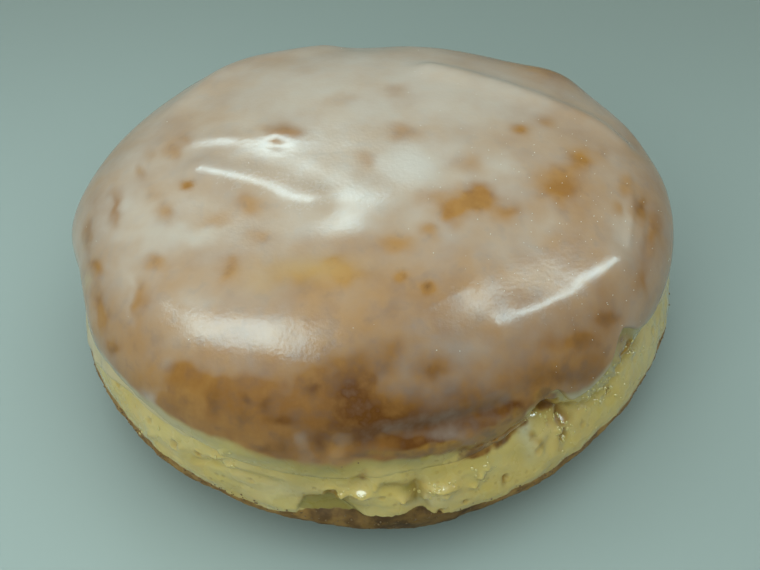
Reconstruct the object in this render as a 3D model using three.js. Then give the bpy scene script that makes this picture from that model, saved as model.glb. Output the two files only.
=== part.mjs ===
// Glazed filled doughnut: one fried yeast bun, with the glaze's thickness counted in its size.
// The filling is wholly inside and doesn't show, so the bun is solid.
// From the bottom up: a flat browned foot, a bulging underside, a pale moist collar that never met
// the frying fat, and a lopsided dome whose rolled lip overhangs the collar.
// Millimetres, +Z up, standing on Z = 0. Angles are in degrees, counter-clockwise from +X,
// and the side with the broken, blistered collar faces -Y, at 270.
import * as THREE from 'three';
import { mergeVertices } from 'three/addons/utils/BufferGeometryUtils.js';

// Driving sizes
const BUN_HEIGHT = 44.4;
const DOME_RADIUS = 46.5;
const RIM_RADIUS = 47.4;
const FOOT_RADIUS = 26;
const RIM_HEIGHT = 11.7;
const CREASE_HEIGHT = 20.1;
const CREASE_DEPTH = 1.8;
const LIP_HEIGHT = 4;

// How far the plan strays from a circle: each wave is a share of the radius, so many times round,
// and is furthest out at the angle it points toward
const DOME_PLAN = [
  { times: 1, share: 0.034, toward: 135 },
  { times: 2, share: 0.054, toward: 14 },
  { times: 3, share: 0.018, toward: 18 },
];
const RIM_PLAN = [
  { times: 1, share: 0.013, toward: 38 },
  { times: 2, share: 0.047, toward: 24 },
  { times: 3, share: 0.026, toward: 39 },
];

// Where the dome's edge bulges or draws in, and where its lip rides high or sags over the collar:
// at an angle, fading over so many degrees, by so many millimetres
const DOME_LOBES = [
  { at: 158, reach: 18, by: 0.9 },
  { at: 174, reach: 9, by: 1.1 },
  { at: 189, reach: 9, by: -1.0 },
  { at: 46, reach: 10, by: 0.8 },
  { at: 320, reach: 9, by: 0.6 },
];
const LIP_LOBES = [
  { at: 306, reach: 5.6, by: 2.0 },
  { at: 321, reach: 8.5, by: -1.9 },
  { at: 253, reach: 11, by: -1.0 },
  { at: 202, reach: 8.5, by: -1.0 },
  { at: 20, reach: 16, by: 1.2 },
  { at: 75, reach: 20, by: -1.1 },
  { at: 118, reach: 9, by: 1.3 },
  { at: 148, reach: 14, by: -0.9 },
];

// A lobe of the edge or the lip dies out up the dome, the faster the higher the power
const LOBE_FADE = 4;

// The fullness of each curve, as a power: 1 is elliptical, less is boxier
const DOME_SIDE_FULLNESS = 0.88;
const DOME_TOP_FULLNESS = 0.956;
const COLLAR_HOLLOW = 1.6;

// Rows of faces in each band, and columns round the bun, which crowd where the collar is worked most
const UNDERSIDE_ROWS = 6;
const COLLAR_ROWS = 11;
const LIP_ROWS = 4;
const DOME_ROWS = 19;
const COLUMNS = 132;
const CROWDING = 0.45;
const CROWDED_SIDE = 290;
const MERGE_DISTANCE = 1e-3;

// The point that dents press toward and bumps swell away from
const HEART = new THREE.Vector3(0, 0, 17);

// Low swellings and hollows of the dome, by their place seen from above
const DOME_SWELLINGS = [
  { x: -16.5, y: 2.8, radius: 3.4, rise: 1.0 },
  { x: -20.3, y: -30.6, radius: 10, rise: 0.7 },
  { x: -6.4, y: -13.8, radius: 8, rise: 0.5 },
  { x: 30.1, y: 31.2, radius: 5.5, rise: 1.3 },
  { x: 12.0, y: -27.6, radius: 5, rise: 0.6 },
  { x: 4.0, y: -23.0, radius: 6, rise: -0.5 },
  { x: -23.0, y: -14.0, radius: 8, rise: -0.5 },
  { x: 24.0, y: 27.0, radius: 7, rise: -0.9 },
  { x: 41.3, y: 14.0, radius: 4, rise: -0.9 },
  { x: -24.0, y: 28.0, radius: 8, rise: 0.8 },
  { x: -2.0, y: 37.0, radius: 6, rise: -0.7 },
];

// Long wrinkles of the dome, each along a curve through points seen from above
const DOME_WRINKLES = [
  { through: [[8.9, 23.3], [20.2, 19.2], [29.9, 15.2], [39.7, 12.1]], width: 2.6, rise: 0.9 },
  { through: [[-27.7, -0.5], [-17.3, -6.6], [-10.2, -10.2]], width: 2.2, rise: 0.6 },
  { through: [[17.8, -30.3], [28.0, -24.0], [36.2, -15.0]], width: 3.0, rise: 0.7 },
  { through: [[-32.0, 20.0], [-22.0, 30.0], [-9.0, 36.0]], width: 3.0, rise: 0.7 },
];
const WRINKLE_STEPS = 24;

// The collar's lumps, dents and burst bubbles: at an angle and a height, so wide, tall and high
const COLLAR_MARKS = [
  { at: 273, height: 16.3, wide: 3.2, tall: 3.2, rise: 1.1 },
  { at: 282, height: 16.0, wide: 3.6, tall: 3.0, rise: 0.8 },
  { at: 289, height: 18.8, wide: 4.0, tall: 2.0, rise: 0.6 },
  { at: 303, height: 17.5, wide: 1.6, tall: 5.0, rise: 0.7 },
  { at: 260, height: 13.9, wide: 4.6, tall: 2.0, rise: -1.4 },
  { at: 277, height: 15.6, wide: 1.2, tall: 3.0, rise: -1.3 },
  { at: 266, height: 19.0, wide: 1.4, tall: 1.3, rise: -1.4 },
  { at: 295, height: 14.0, wide: 1.4, tall: 1.4, rise: -0.9 },
  { at: 305.5, height: 23.0, wide: 2.4, tall: 2.4, rise: -2.6 },
  { at: 302, height: 18.2, wide: 1.3, tall: 1.3, rise: -1.0 },
  { at: 305, height: 16.5, wide: 1.3, tall: 1.4, rise: -1.2 },
  { at: 311, height: 18.5, wide: 1.6, tall: 1.6, rise: -1.6 },
  { at: 310, height: 15.4, wide: 1.3, tall: 1.5, rise: -1.0 },
  { at: 324, height: 16.0, wide: 1.4, tall: 1.2, rise: -1.0 },
  { at: 330, height: 21.5, wide: 2.2, tall: 2.2, rise: -2.0 },
  { at: 318, height: 17.8, wide: 4.5, tall: 2.2, rise: 0.5 },
  { at: 226, height: 15.5, wide: 6.0, tall: 2.6, rise: 0.5 },
  { at: 187, height: 19.0, wide: 3.5, tall: 2.2, rise: -1.6 },
  { at: 22, height: 19.4, wide: 3.4, tall: 2.4, rise: -1.9 },
  { at: 36, height: 15.0, wide: 5.0, tall: 2.2, rise: -1.1 },
  { at: 78, height: 16.5, wide: 4.5, tall: 2.6, rise: 0.9 },
  { at: 97, height: 14.4, wide: 3.4, tall: 2.0, rise: -1.4 },
  { at: 118, height: 19.6, wide: 2.8, tall: 2.4, rise: -2.0 },
  { at: 140, height: 16.0, wide: 5.0, tall: 2.4, rise: 0.8 },
  { at: 153, height: 17.0, wide: 2.8, tall: 1.8, rise: -1.3 },
];

// The collar puckers all round, most just below the lip
const PUCKERS = [
  { times: 11, depth: 0.28, toward: 4 },
  { times: 17, depth: 0.20, toward: 11 },
  { times: 29, depth: 0.14, toward: 7 },
];

// A crease runs above the lip's roll on the front, and the roll swells below it
const ROLL = { at: 284, reach: 17, tall: 1.5 };
const ROLL_CREASE = { above: 3.6, rise: -0.8 };
const ROLL_SWELL = { above: 0.4, rise: 0.7 };

// The milky brown of the glazed dome
const BUN_MATERIAL = new THREE.MeshStandardMaterial({ color: '#b3987a', roughness: 0.35, metalness: 0 });

const radians = THREE.MathUtils.degToRad;

// A smooth bump: 1 at no distance, a third at a distance of 1, and next to nothing at 2
const bell = (distance) => Math.exp(-distance * distance);

// The shortest turn between two angles, in degrees
const turnBetween = (a, b) => THREE.MathUtils.euclideanModulo(a - b + 180, 360) - 180;

// A sum of waves round the bun
function waves(angle, terms, size) {
  let sum = 0;
  for (const term of terms) {
    sum += term[size] * Math.cos(term.times * radians(angle - term.toward));
  }
  return sum;
}

// A sum of lobes at one angle
function lobes(angle, terms) {
  let sum = 0;
  for (const term of terms) {
    sum += term.by * bell(turnBetween(angle, term.at) / term.reach);
  }
  return sum;
}

// The bun's own sizes at one angle: the crease lies inside both the dome's edge and the rim
function sizesAt(angle) {
  const dome = DOME_RADIUS * (1 + waves(angle, DOME_PLAN, 'share'));
  const rim = RIM_RADIUS * (1 + waves(angle, RIM_PLAN, 'share'));
  const bulge = lobes(angle, DOME_LOBES);
  const crease = Math.min(dome + bulge, rim) - CREASE_DEPTH;
  const lift = lobes(angle, LIP_LOBES);
  return { dome, rim, bulge, crease, lift, creaseHeight: CREASE_HEIGHT + lift };
}

// Each band of the profile, from its share of the way along to a radius and a height
const BANDS = {
  underside(share, { rim }) {
    const turn = share * Math.PI / 2;
    return [FOOT_RADIUS + (rim - FOOT_RADIUS) * Math.sin(turn), RIM_HEIGHT * (1 - Math.cos(turn))];
  },
  collar(share, { rim, crease, creaseHeight }) {
    return [rim + (crease - rim) * share ** COLLAR_HOLLOW, RIM_HEIGHT + (creaseHeight - RIM_HEIGHT) * share];
  },
  lip(share, { dome, bulge, crease, creaseHeight }) {
    const turn = share * Math.PI / 2;
    const edge = dome + bulge;
    return [crease + (edge - crease) * Math.sin(turn), creaseHeight + LIP_HEIGHT * (1 - Math.cos(turn))];
  },
  dome(share, { dome, bulge, lift }) {
    const turn = share * Math.PI / 2;
    const faded = (1 - share) ** LOBE_FADE;
    const start = CREASE_HEIGHT + LIP_HEIGHT;
    const radius = dome * Math.max(Math.cos(turn), 0) ** DOME_SIDE_FULLNESS;
    const height = start + (BUN_HEIGHT - start) * Math.sin(turn) ** DOME_TOP_FULLNESS;
    return [radius + bulge * faded, height + lift * faded];
  },
};

// The rows of the profile, from the middle of the foot to the top of the dome
function profileRows() {
  const rows = [{ band: 'foot', share: 0 }];
  const counts = { underside: UNDERSIDE_ROWS, collar: COLLAR_ROWS, lip: LIP_ROWS, dome: DOME_ROWS };
  for (const [band, count] of Object.entries(counts)) {
    for (let row = 0; row < count; row += 1) {
      rows.push({ band, share: row / count });
    }
  }
  rows.push({ band: 'dome', share: 1 });
  return rows;
}

// The distance from a point, seen from above, to the nearest point of a wrinkle
const wrinklePoints = DOME_WRINKLES.map(({ through }) => {
  const points = through.map(([x, y]) => new THREE.Vector2(x, y));
  return new THREE.SplineCurve(points).getPoints(WRINKLE_STEPS);
});
function distanceToWrinkle(index, place) {
  return Math.min(...wrinklePoints[index].map((point) => point.distanceTo(place)));
}

// How far the dome stands out from its smooth form at a point
function domeRelief(point) {
  const place = new THREE.Vector2(point.x, point.y);
  let rise = 0;
  for (const swelling of DOME_SWELLINGS) {
    rise += swelling.rise * bell(place.distanceTo(new THREE.Vector2(swelling.x, swelling.y)) / swelling.radius);
  }
  DOME_WRINKLES.forEach((wrinkle, index) => {
    rise += wrinkle.rise * bell(distanceToWrinkle(index, place) / wrinkle.width);
  });
  return rise;
}

// How far the collar stands out from its smooth form at an angle and a height
function collarRelief(angle, radius, height, share) {
  let rise = waves(angle, PUCKERS, 'depth') * share;
  for (const mark of COLLAR_MARKS) {
    const along = radians(turnBetween(angle, mark.at)) * radius / mark.wide;
    const up = (height - mark.height) / mark.tall;
    rise += mark.rise * bell(Math.hypot(along, up));
  }
  return rise;
}

// How far the lip's roll and the crease above it stand out, at a height above the dome's widest line
function rollRelief(angle, above) {
  const here = bell(turnBetween(angle, ROLL.at) / ROLL.reach);
  const crease = ROLL_CREASE.rise * bell((above - ROLL_CREASE.above) / ROLL.tall);
  const swell = ROLL_SWELL.rise * bell((above - ROLL_SWELL.above) / ROLL.tall);
  return here * (crease + swell);
}

// One point of the bun's skin: each band takes over its neighbour's relief where the two meet
function skinPoint({ band, share }, angle) {
  if (band === 'foot') {
    return new THREE.Vector3();
  }
  const sizes = sizesAt(angle);
  const [radius, height] = BANDS[band](share, sizes);
  const point = new THREE.Vector3(
    radius * Math.cos(radians(angle)),
    radius * Math.sin(radians(angle)),
    height,
  );
  let rise = 0;
  if (band === 'underside') {
    rise += collarRelief(angle, radius, height, 0);
  }
  if (band === 'collar') {
    rise += collarRelief(angle, radius, height, share);
  }
  if (band === 'lip') {
    rise += collarRelief(angle, radius, height, 1) * (1 - share) + domeRelief(point) * share;
  }
  if (band === 'dome') {
    rise += domeRelief(point);
  }
  if (band === 'lip' || band === 'dome') {
    rise += rollRelief(angle, height - sizes.creaseHeight - LIP_HEIGHT);
  }
  const outward = point.clone().sub(HEART).normalize();
  return point.addScaledVector(outward, rise);
}

// The angle of a column: columns stand closer together on the crowded side
function columnAngle(column) {
  const even = column / COLUMNS * 360;
  return even - THREE.MathUtils.radToDeg(CROWDING) * Math.sin(radians(even - CROWDED_SIDE));
}

// Faces that shrank to a line where the rows meet on the axis
function withoutEmptyFaces(geometry) {
  const index = geometry.getIndex().array;
  const kept = [];
  for (let face = 0; face < index.length; face += 3) {
    const [a, b, c] = index.slice(face, face + 3);
    if (a !== b && b !== c && c !== a) {
      kept.push(a, b, c);
    }
  }
  geometry.setIndex(kept);
  return geometry;
}

// The bun is turned as on a lathe, and each point of the turned grid then moves onto the real skin
function bunGeometry() {
  const rows = profileRows();
  const profile = rows.map(({ band, share }) => {
    const onAxis = band === 'foot' || (band === 'dome' && share === 1);
    return new THREE.Vector2(onAxis ? 0 : 1, 0);
  });
  const lathe = new THREE.LatheGeometry(profile, COLUMNS);
  const position = lathe.getAttribute('position');
  for (let column = 0; column <= COLUMNS; column += 1) {
    const angle = columnAngle(column % COLUMNS);
    rows.forEach((row, index) => {
      const point = skinPoint(row, angle);
      position.setXYZ(column * rows.length + index, point.x, point.y, point.z);
    });
  }
  lathe.deleteAttribute('normal');
  lathe.deleteAttribute('uv');
  const closed = withoutEmptyFaces(mergeVertices(lathe, MERGE_DISTANCE));

  // The origin is the middle of the bun's box in plan, on the surface that it stands on
  closed.computeBoundingBox();
  const middle = closed.boundingBox.getCenter(new THREE.Vector3());
  closed.translate(-middle.x, -middle.y, -closed.boundingBox.min.z);
  closed.computeVertexNormals();
  return closed;
}

const doughnut = new THREE.Mesh(bunGeometry(), BUN_MATERIAL);
doughnut.name = 'doughnut';

const model = new THREE.Group();
model.add(doughnut);

export default model;
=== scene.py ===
# %% [markdown]
# # A glazed filled doughnut
# A round yeast bun is fried on one side and then on the other, filled, and dipped face down in
# warm sugar glaze. What shows is one soft bun with three zones, a browned underside, a pale collar
# that floated clear of the fat, and a browned dome, and over the dome a thin, wet, milky glaze.
# This lesson loads the bun's solid, and makes the dough and the glaze over it as two fine meshes
# of the same form, with sugar specks, glassy beads and crumbs scattered over them.

# %% Load the solid bun and keep its box
import math
import random

import bpy
import numpy as np
from mathutils import Matrix, Vector, noise


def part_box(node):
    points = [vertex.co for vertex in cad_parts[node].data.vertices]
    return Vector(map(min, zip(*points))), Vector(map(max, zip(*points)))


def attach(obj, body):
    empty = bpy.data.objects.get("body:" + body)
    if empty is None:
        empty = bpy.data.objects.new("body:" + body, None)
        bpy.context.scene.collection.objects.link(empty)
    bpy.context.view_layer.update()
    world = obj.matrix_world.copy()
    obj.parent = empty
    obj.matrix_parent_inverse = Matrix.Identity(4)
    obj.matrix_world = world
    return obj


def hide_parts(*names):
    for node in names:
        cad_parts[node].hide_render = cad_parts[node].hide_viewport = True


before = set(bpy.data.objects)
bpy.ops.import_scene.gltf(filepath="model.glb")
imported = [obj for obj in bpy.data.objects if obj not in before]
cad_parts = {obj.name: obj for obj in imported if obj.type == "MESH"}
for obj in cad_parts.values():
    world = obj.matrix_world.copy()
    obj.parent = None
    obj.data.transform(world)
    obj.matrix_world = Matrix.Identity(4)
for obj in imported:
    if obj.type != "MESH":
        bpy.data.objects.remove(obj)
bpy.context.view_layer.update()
bun_low, bun_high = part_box("doughnut")
print("bun, in millimetres:", [round(1000 * (high - low), 1) for low, high in zip(bun_low, bun_high)])

# %% [markdown]
# ## Camera
# The bun was photographed from half way up, close enough for the near side to look larger than the
# far side. A long lens from 30 cm gives the same perspective. The aim lies a little below the
# bun's middle, and a slight roll is the hand of whoever held the camera.

# %% Camera
MM = 0.001
CAMERA_PLACE = Vector((0.5, -211.1, 232.1)) * MM
CAMERA_AIM = Vector((0.8, -1.8, 17.2)) * MM
CAMERA_LENS = 85.97
CAMERA_ROLL = math.radians(-0.56)

camera = bpy.data.objects.new("camera", bpy.data.cameras.new("camera"))
camera.data.lens = CAMERA_LENS
camera.data.clip_start = 0.01
looking = (CAMERA_AIM - CAMERA_PLACE).to_track_quat("-Z", "Y").to_matrix().to_4x4()
camera.matrix_world = Matrix.Translation(CAMERA_PLACE) @ looking @ Matrix.Rotation(CAMERA_ROLL, 4, "Z")
bpy.context.scene.collection.objects.link(camera)
bpy.context.scene.camera = camera

# %% [markdown]
# ## Light
# Wet glaze is a mirror with a soft edge, so its highlights are pictures of the lamps. One set of
# lamps could do it all, but then no highlight could be moved without changing the light. So three
# broad ceiling lamps are only mirrored, and hang where the streaks on the dome reflect them, while
# four soft lamps, which nothing mirrors, light the bun. A pale room fills the shadows.

# %% Light
CEILING = 0.6
# Lamps that are only mirrored: middle and size as shares of the ceiling's height, turn, brightness
LAMPS = {
    "left lamp": {"middle": (-0.725, -0.18), "size": (1.13, 0.36), "turn": -15, "radiance": 9.8},
    "back lamp": {"middle": (-0.38, 0.93), "size": (0.98, 0.34), "turn": -38, "radiance": 12.2},
    "right lamp": {"middle": (1.19, 0.20), "size": (1.70, 0.24), "turn": 20, "radiance": 16.6},
}
LAMP_COLOUR = (0.74, 0.95, 1.0)
# Soft lamps that light the scene and are not mirrored: where, how wide, how bright
SOFT_LAMPS = {
    "soft ceiling": {"place": (0.0, -0.06, 0.80), "size": 1.5, "radiance": 1.55},
    "soft front": {"place": (-0.40, -0.90, 0.55), "size": 0.9, "radiance": 2.0},
    "soft left": {"place": (-0.95, 0.05, 0.34), "size": 0.6, "radiance": 2.1},
    "soft right": {"place": (0.95, -0.15, 0.34), "size": 0.6, "radiance": 1.4},
}


def add_lamp(name, width, depth, radiance):
    lamp = bpy.data.lights.new(name, "AREA")
    lamp.shape = "RECTANGLE"
    lamp.size = width
    lamp.size_y = depth
    lamp.color = LAMP_COLOUR
    lamp.energy = radiance * math.pi * width * depth
    hung = bpy.data.objects.new(name, lamp)
    bpy.context.scene.collection.objects.link(hung)
    return hung


for name, lamp in LAMPS.items():
    hung = add_lamp(name, *(side * CEILING for side in lamp["size"]), lamp["radiance"])
    hung.location = (*(place * CEILING for place in lamp["middle"]), CEILING)
    hung.rotation_euler = (0, 0, math.radians(lamp["turn"]))
    hung.visible_diffuse = False

for name, lamp in SOFT_LAMPS.items():
    hung = add_lamp(name, lamp["size"], lamp["size"], lamp["radiance"])
    hung.location = lamp["place"]
    hung.rotation_euler = Vector(lamp["place"]).to_track_quat("Z", "Y").to_euler()
    hung.visible_glossy = False

bpy.context.scene.view_settings.view_transform = "Standard"

# %% [markdown]
# ## Materials as expressions
# A finish is a small calculation, such as where the crust is brown and how much milk lies over it.
# Wiring that by hand hides the idea, so a thin wrapper round a socket lets each finish be written
# as arithmetic, and one method adds every other node.

# %% A wrapper that turns arithmetic into shader nodes
class Value:
    """A socket of a material's tree. Arithmetic on it adds Math nodes."""

    def __init__(self, finish, socket):
        self.finish = finish
        self.socket = socket

    def maths(self, operation, *others):
        inputs = dict(enumerate((self, *others)))
        return self.finish.node("ShaderNodeMath", {"operation": operation}, inputs)

    def __add__(self, other):
        return self.maths("ADD", other)

    def __sub__(self, other):
        return self.maths("SUBTRACT", other)

    def __rsub__(self, other):
        return self.finish.node("ShaderNodeMath", {"operation": "SUBTRACT"}, {0: other, 1: self})

    def __mul__(self, other):
        return self.maths("MULTIPLY", other)

    __radd__ = __add__
    __rmul__ = __mul__

    def clamped(self):
        return self.finish.node("ShaderNodeClamp", {}, {"Value": self})

    def ramp(self, low, high):
        """0 below low, 1 above high, and a smooth rise between the two."""
        settings = {"interpolation_type": "SMOOTHSTEP"}
        return self.finish.node("ShaderNodeMapRange", settings, {0: self, 1: low, 2: high})


class Finish:
    """A material or a world, its shader, and a method that adds nodes."""

    def __init__(self, made, shader="Principled BSDF"):
        made.use_nodes = True
        self.made = made
        self.tree = made.node_tree
        self.shader = self.tree.nodes[shader]

    def node(self, kind, settings, inputs, output=0):
        made = self.tree.nodes.new(kind)
        for name, value in settings.items():
            setattr(made, name, value)
        for key, value in inputs.items():
            self.feed(made.inputs[key], value)
        return Value(self, made.outputs[output])

    def feed(self, socket, value):
        if isinstance(value, Value):
            self.tree.links.new(value.socket, socket)
        else:
            socket.default_value = value

    def set(self, **inputs):
        for name, value in inputs.items():
            self.feed(self.shader.inputs[name.replace("_", " ")], value)

    def blend_with(self, share, **inputs):
        """A second Principled shader, which takes over from the first as share goes from 0 to 1."""
        first = Value(self, self.shader.outputs[0])
        named = {name.replace("_", " "): value for name, value in inputs.items()}
        second = self.node("ShaderNodeBsdfPrincipled", {}, named)
        mixed = self.node("ShaderNodeMixShader", {}, {0: share, 1: first, 2: second})
        self.feed(self.tree.nodes["Material Output"].inputs["Surface"], mixed)

    def place(self, kind="Object"):
        return self.node("ShaderNodeTexCoord", {}, {}, kind)

    def shifted_place(self, seed, stretch=(1, 1, 1)):
        """The place on the object, moved by a seed so that no two noises are alike."""
        inputs = {"Vector": self.place(), "Location": (seed, seed, seed), "Scale": stretch}
        return self.node("ShaderNodeMapping", {}, inputs)

    def attribute(self, name):
        return self.node("ShaderNodeAttribute", {"attribute_name": name}, {}, "Fac")

    def noise(self, size, detail=2.0, roughness=0.5, stretch=(1, 1, 1), seed=0.0):
        """Cloudy noise around 0.5, whose blotches are about size across, in metres."""
        where = self.shifted_place(seed, stretch)
        inputs = {"Vector": where, "Scale": 0.5 / size, "Detail": detail, "Roughness": roughness}
        return self.node("ShaderNodeTexNoise", {}, inputs, "Fac")

    def cells(self, size, seed=0.0):
        """The distance to the middle of the nearest of many scattered cells, 0 to about 1."""
        inputs = {"Vector": self.shifted_place(seed), "Scale": 1 / size}
        return self.node("ShaderNodeTexVoronoi", {}, inputs, "Distance")

    def mix(self, share, first, second):
        """One colour turning into another as share goes from 0 to 1."""
        settings = {"data_type": "RGBA", "clamp_factor": True}
        return self.node("ShaderNodeMix", settings, {0: share, 6: first, 7: second}, 2)

    def bump(self, height, distance, strength=1.0, normal=None):
        inputs = {"Height": height, "Distance": distance, "Strength": strength}
        if normal is not None:
            inputs["Normal"] = normal
        return self.node("ShaderNodeBump", {}, inputs)


def colour(red, green, blue):
    return (red, green, blue, 1.0)


def new_finish(name):
    return Finish(bpy.data.materials.new(name))


# %% [markdown]
# ## Room
# The shadow at the bun's foot is faint, so some light has to come from everywhere. A uniform room
# would do, but it looks flat. This one is a pale dome that grows brighter toward the front left,
# and it has no edge that the glaze could mirror.

# %% Room
ROOM_COLOUR = (0.86, 0.96, 0.92)
ROOM_DIM = 0.10
ROOM_BRIGHT = 0.16
BRIGHT_SIDE = (-0.40, -0.80, 0.30)
# Where the brightening starts and ends, as the cosine of the angle to the bright side
BRIGHTENING = (-0.3, 1.0)


def light_room():
    room = Finish(bpy.data.worlds.new("pale room"), "Background")
    facing = room.node(
        "ShaderNodeVectorMath",
        {"operation": "DOT_PRODUCT"},
        {0: room.place("Generated"), 1: Vector(BRIGHT_SIDE).normalized()},
        "Value",
    )
    strength = facing.ramp(*BRIGHTENING) * (ROOM_BRIGHT - ROOM_DIM) + ROOM_DIM
    room.set(Color=colour(*ROOM_COLOUR), Strength=strength)
    return room.made


bpy.context.scene.world = light_room()

# %% [markdown]
# ## Floor
# The bun stands on a smooth pale grey-green surface. A large plane carries the soft contact shadow,
# and its colour darkens slowly toward the back and the right, as the photo's does. It is a stage
# and no part of the bun.

# %% Floor
FLOOR_SIZE = 3.0


def floor_finish():
    finish = new_finish("pale green floor")
    uneven = finish.noise(0.25, detail=1.0)
    right = finish.node("ShaderNodeSeparateXYZ", {}, {"Vector": finish.place()}, "X")
    away = finish.node("ShaderNodeSeparateXYZ", {}, {"Vector": finish.place()}, "Y")
    pale = finish.mix(uneven, colour(0.335, 0.37, 0.325), colour(0.365, 0.40, 0.355))
    # Painted fall-off of the light: the floor's colour darkens toward the right and the back, away from
    # the front left where the light is strongest
    pale = finish.mix(right.ramp(-0.02, 0.09) * 0.5, pale, colour(0.25, 0.275, 0.24))
    finish.set(
        Base_Color=finish.mix(away.ramp(0.0, 0.14), pale, colour(0.205, 0.222, 0.188)),
        Roughness=0.6,
        Specular_IOR_Level=0.2,
    )
    return finish.made


corners = [(-1, -1, 0), (1, -1, 0), (1, 1, 0), (-1, 1, 0)]
floor_mesh = bpy.data.meshes.new("floor")
floor_mesh.from_pydata([Vector(corner) * FLOOR_SIZE / 2 for corner in corners], [], [(0, 1, 2, 3)])
floor_mesh.materials.append(floor_finish())
floor = bpy.data.objects.new("floor", floor_mesh)
bpy.context.scene.collection.objects.link(floor)

# %% [markdown]
# ## The bun's form
# Dough and glaze share one skin, the same as the solid's. A point on it has an angle round the bun
# and a path from the foot to the top: -1 to 0 is the flat foot, 0 to 1 the bulging underside,
# 1 to 2 the collar, 2 to 3 the rolled lip that overhangs it, and 3 to 4 the dome. The form is
# worked out in millimetres on whole arrays of points at once, which keeps a fine mesh quick.

# %% Driving sizes, in millimetres and degrees
BUN_HEIGHT = 44.4
DOME_RADIUS = 46.5
RIM_RADIUS = 47.4
FOOT_RADIUS = 26
RIM_HEIGHT = 11.7
CREASE_HEIGHT = 20.1
CREASE_DEPTH = 1.8
LIP_HEIGHT = 4
LOBE_FADE = 4
DOME_SIDE_FULLNESS = 0.88
DOME_TOP_FULLNESS = 0.956
COLLAR_HOLLOW = 1.6
# Outward, all over the bun, means away from this point
HEART = np.array([0, 0, 17.0])

# Waves of the plan: so many times round, by a share of the radius, furthest out toward an angle
DOME_PLAN = [(1, 0.034, 135), (2, 0.054, 14), (3, 0.018, 18)]
RIM_PLAN = [(1, 0.013, 38), (2, 0.047, 24), (3, 0.026, 39)]

# Bulges of the dome's edge, and where its lip rides high or sags: angle, reach, amount
DOME_LOBES = [(158, 18, 0.9), (174, 9, 1.1), (189, 9, -1.0), (46, 10, 0.8), (320, 9, 0.6)]
LIP_LOBES = [
    (306, 5.6, 2.0), (321, 8.5, -1.9), (253, 11, -1.0), (202, 8.5, -1.0), (20, 16, 1.2), (75, 20, -1.1),
    (118, 9, 1.3), (148, 14, -0.9),
]

# Swellings of the dome seen from above: x, y, radius, rise
DOME_SWELLINGS = [
    (-15.5, 5.2, 2.6, 0.5), (-20.3, -30.6, 10, 0.7), (-6.4, -13.8, 8, 0.5), (30.1, 31.2, 5.5, 1.3),
    (12.0, -27.6, 5, 0.25), (4.0, -23.0, 6, -0.5), (-23.0, -14.0, 8, -0.5), (24.0, 27.0, 7, -0.45),
    (41.3, 14.0, 4, -0.9), (-24.0, 28.0, 8, 0.8), (-2.0, 37.0, 6, -0.7),
]

# Long wrinkles of the dome: points seen from above, width, rise
DOME_WRINKLES = [
    ([(8.9, 23.3), (20.2, 19.2), (29.9, 15.2), (39.7, 12.1)], 2.6, 0.9),
    ([(-27.7, -0.5), (-17.3, -6.6), (-10.2, -10.2)], 3.0, 0.7),
    ([(17.8, -30.3), (28.0, -24.0), (36.2, -15.0)], 3.0, 0.7),
    ([(-32.0, 20.0), (-22.0, 30.0), (-9.0, 36.0)], 3.0, 0.7),
]

# Lumps, dents and burst bubbles of the collar: angle, height, width, tallness, rise
COLLAR_MARKS = [
    (273, 16.3, 3.2, 3.2, 1.1), (282, 16.0, 3.6, 3.0, 0.8), (289, 18.8, 4.0, 2.0, 0.6),
    (303, 17.5, 1.6, 5.0, 0.7), (260, 13.9, 4.6, 2.0, -1.4), (277, 15.6, 1.2, 3.0, -1.3),
    (266, 19.0, 1.4, 1.3, -1.4), (295, 14.0, 1.4, 1.4, -0.5), (305.5, 23.0, 2.4, 2.4, -2.6),
    (302, 18.2, 1.3, 1.3, -0.6), (305, 16.5, 1.3, 1.4, -0.7), (311, 18.9, 1.5, 1.5, -0.9),
    (310, 15.4, 1.3, 1.5, -0.6), (324, 16.0, 1.4, 1.2, -1.0), (330, 21.5, 2.2, 2.2, -2.0),
    (318, 17.8, 4.5, 2.2, 0.5), (226, 15.5, 6.0, 2.6, 0.5), (187, 19.0, 3.5, 2.2, -1.6),
    (22, 19.4, 3.4, 2.4, -1.9), (36, 15.0, 5.0, 2.2, -1.1), (78, 16.5, 4.5, 2.6, 0.9),
    (97, 14.4, 3.4, 2.0, -1.4), (118, 19.6, 2.8, 2.4, -2.0), (140, 16.0, 5.0, 2.4, 0.8),
    (153, 17.0, 2.8, 1.8, -1.3),
]
PUCKERS = [(11, 0.28, 4), (17, 0.20, 11), (29, 0.14, 7)]

# The crease above the lip's roll on the front, and the swelling of the roll
ROLL_AT, ROLL_REACH, ROLL_TALL = 284, 17, 1.5
ROLL_CREASE = (3.6, -0.8)
ROLL_SWELL = (0.4, 0.7)


# %% The smooth form, from a path and an angle to a radius and a height
def bell(distance):
    return np.exp(-distance * distance)


def turn_between(a, b):
    return (a - b + 180) % 360 - 180


def waves(angle, terms):
    return sum(size * np.cos(times * np.radians(angle - toward)) for times, size, toward in terms)


def lobes(angle, terms):
    return sum(by * bell(turn_between(angle, at) / reach) for at, reach, by in terms)


def crease_height_at(angle):
    return CREASE_HEIGHT + lobes(angle, LIP_LOBES)


def sizes_at(angle):
    dome = DOME_RADIUS * (1 + waves(angle, DOME_PLAN))
    rim = RIM_RADIUS * (1 + waves(angle, RIM_PLAN))
    bulge = lobes(angle, DOME_LOBES)
    lift = lobes(angle, LIP_LOBES)
    crease = np.minimum(dome + bulge, rim) - CREASE_DEPTH
    return dome, rim, bulge, lift, crease, CREASE_HEIGHT + lift


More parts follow.
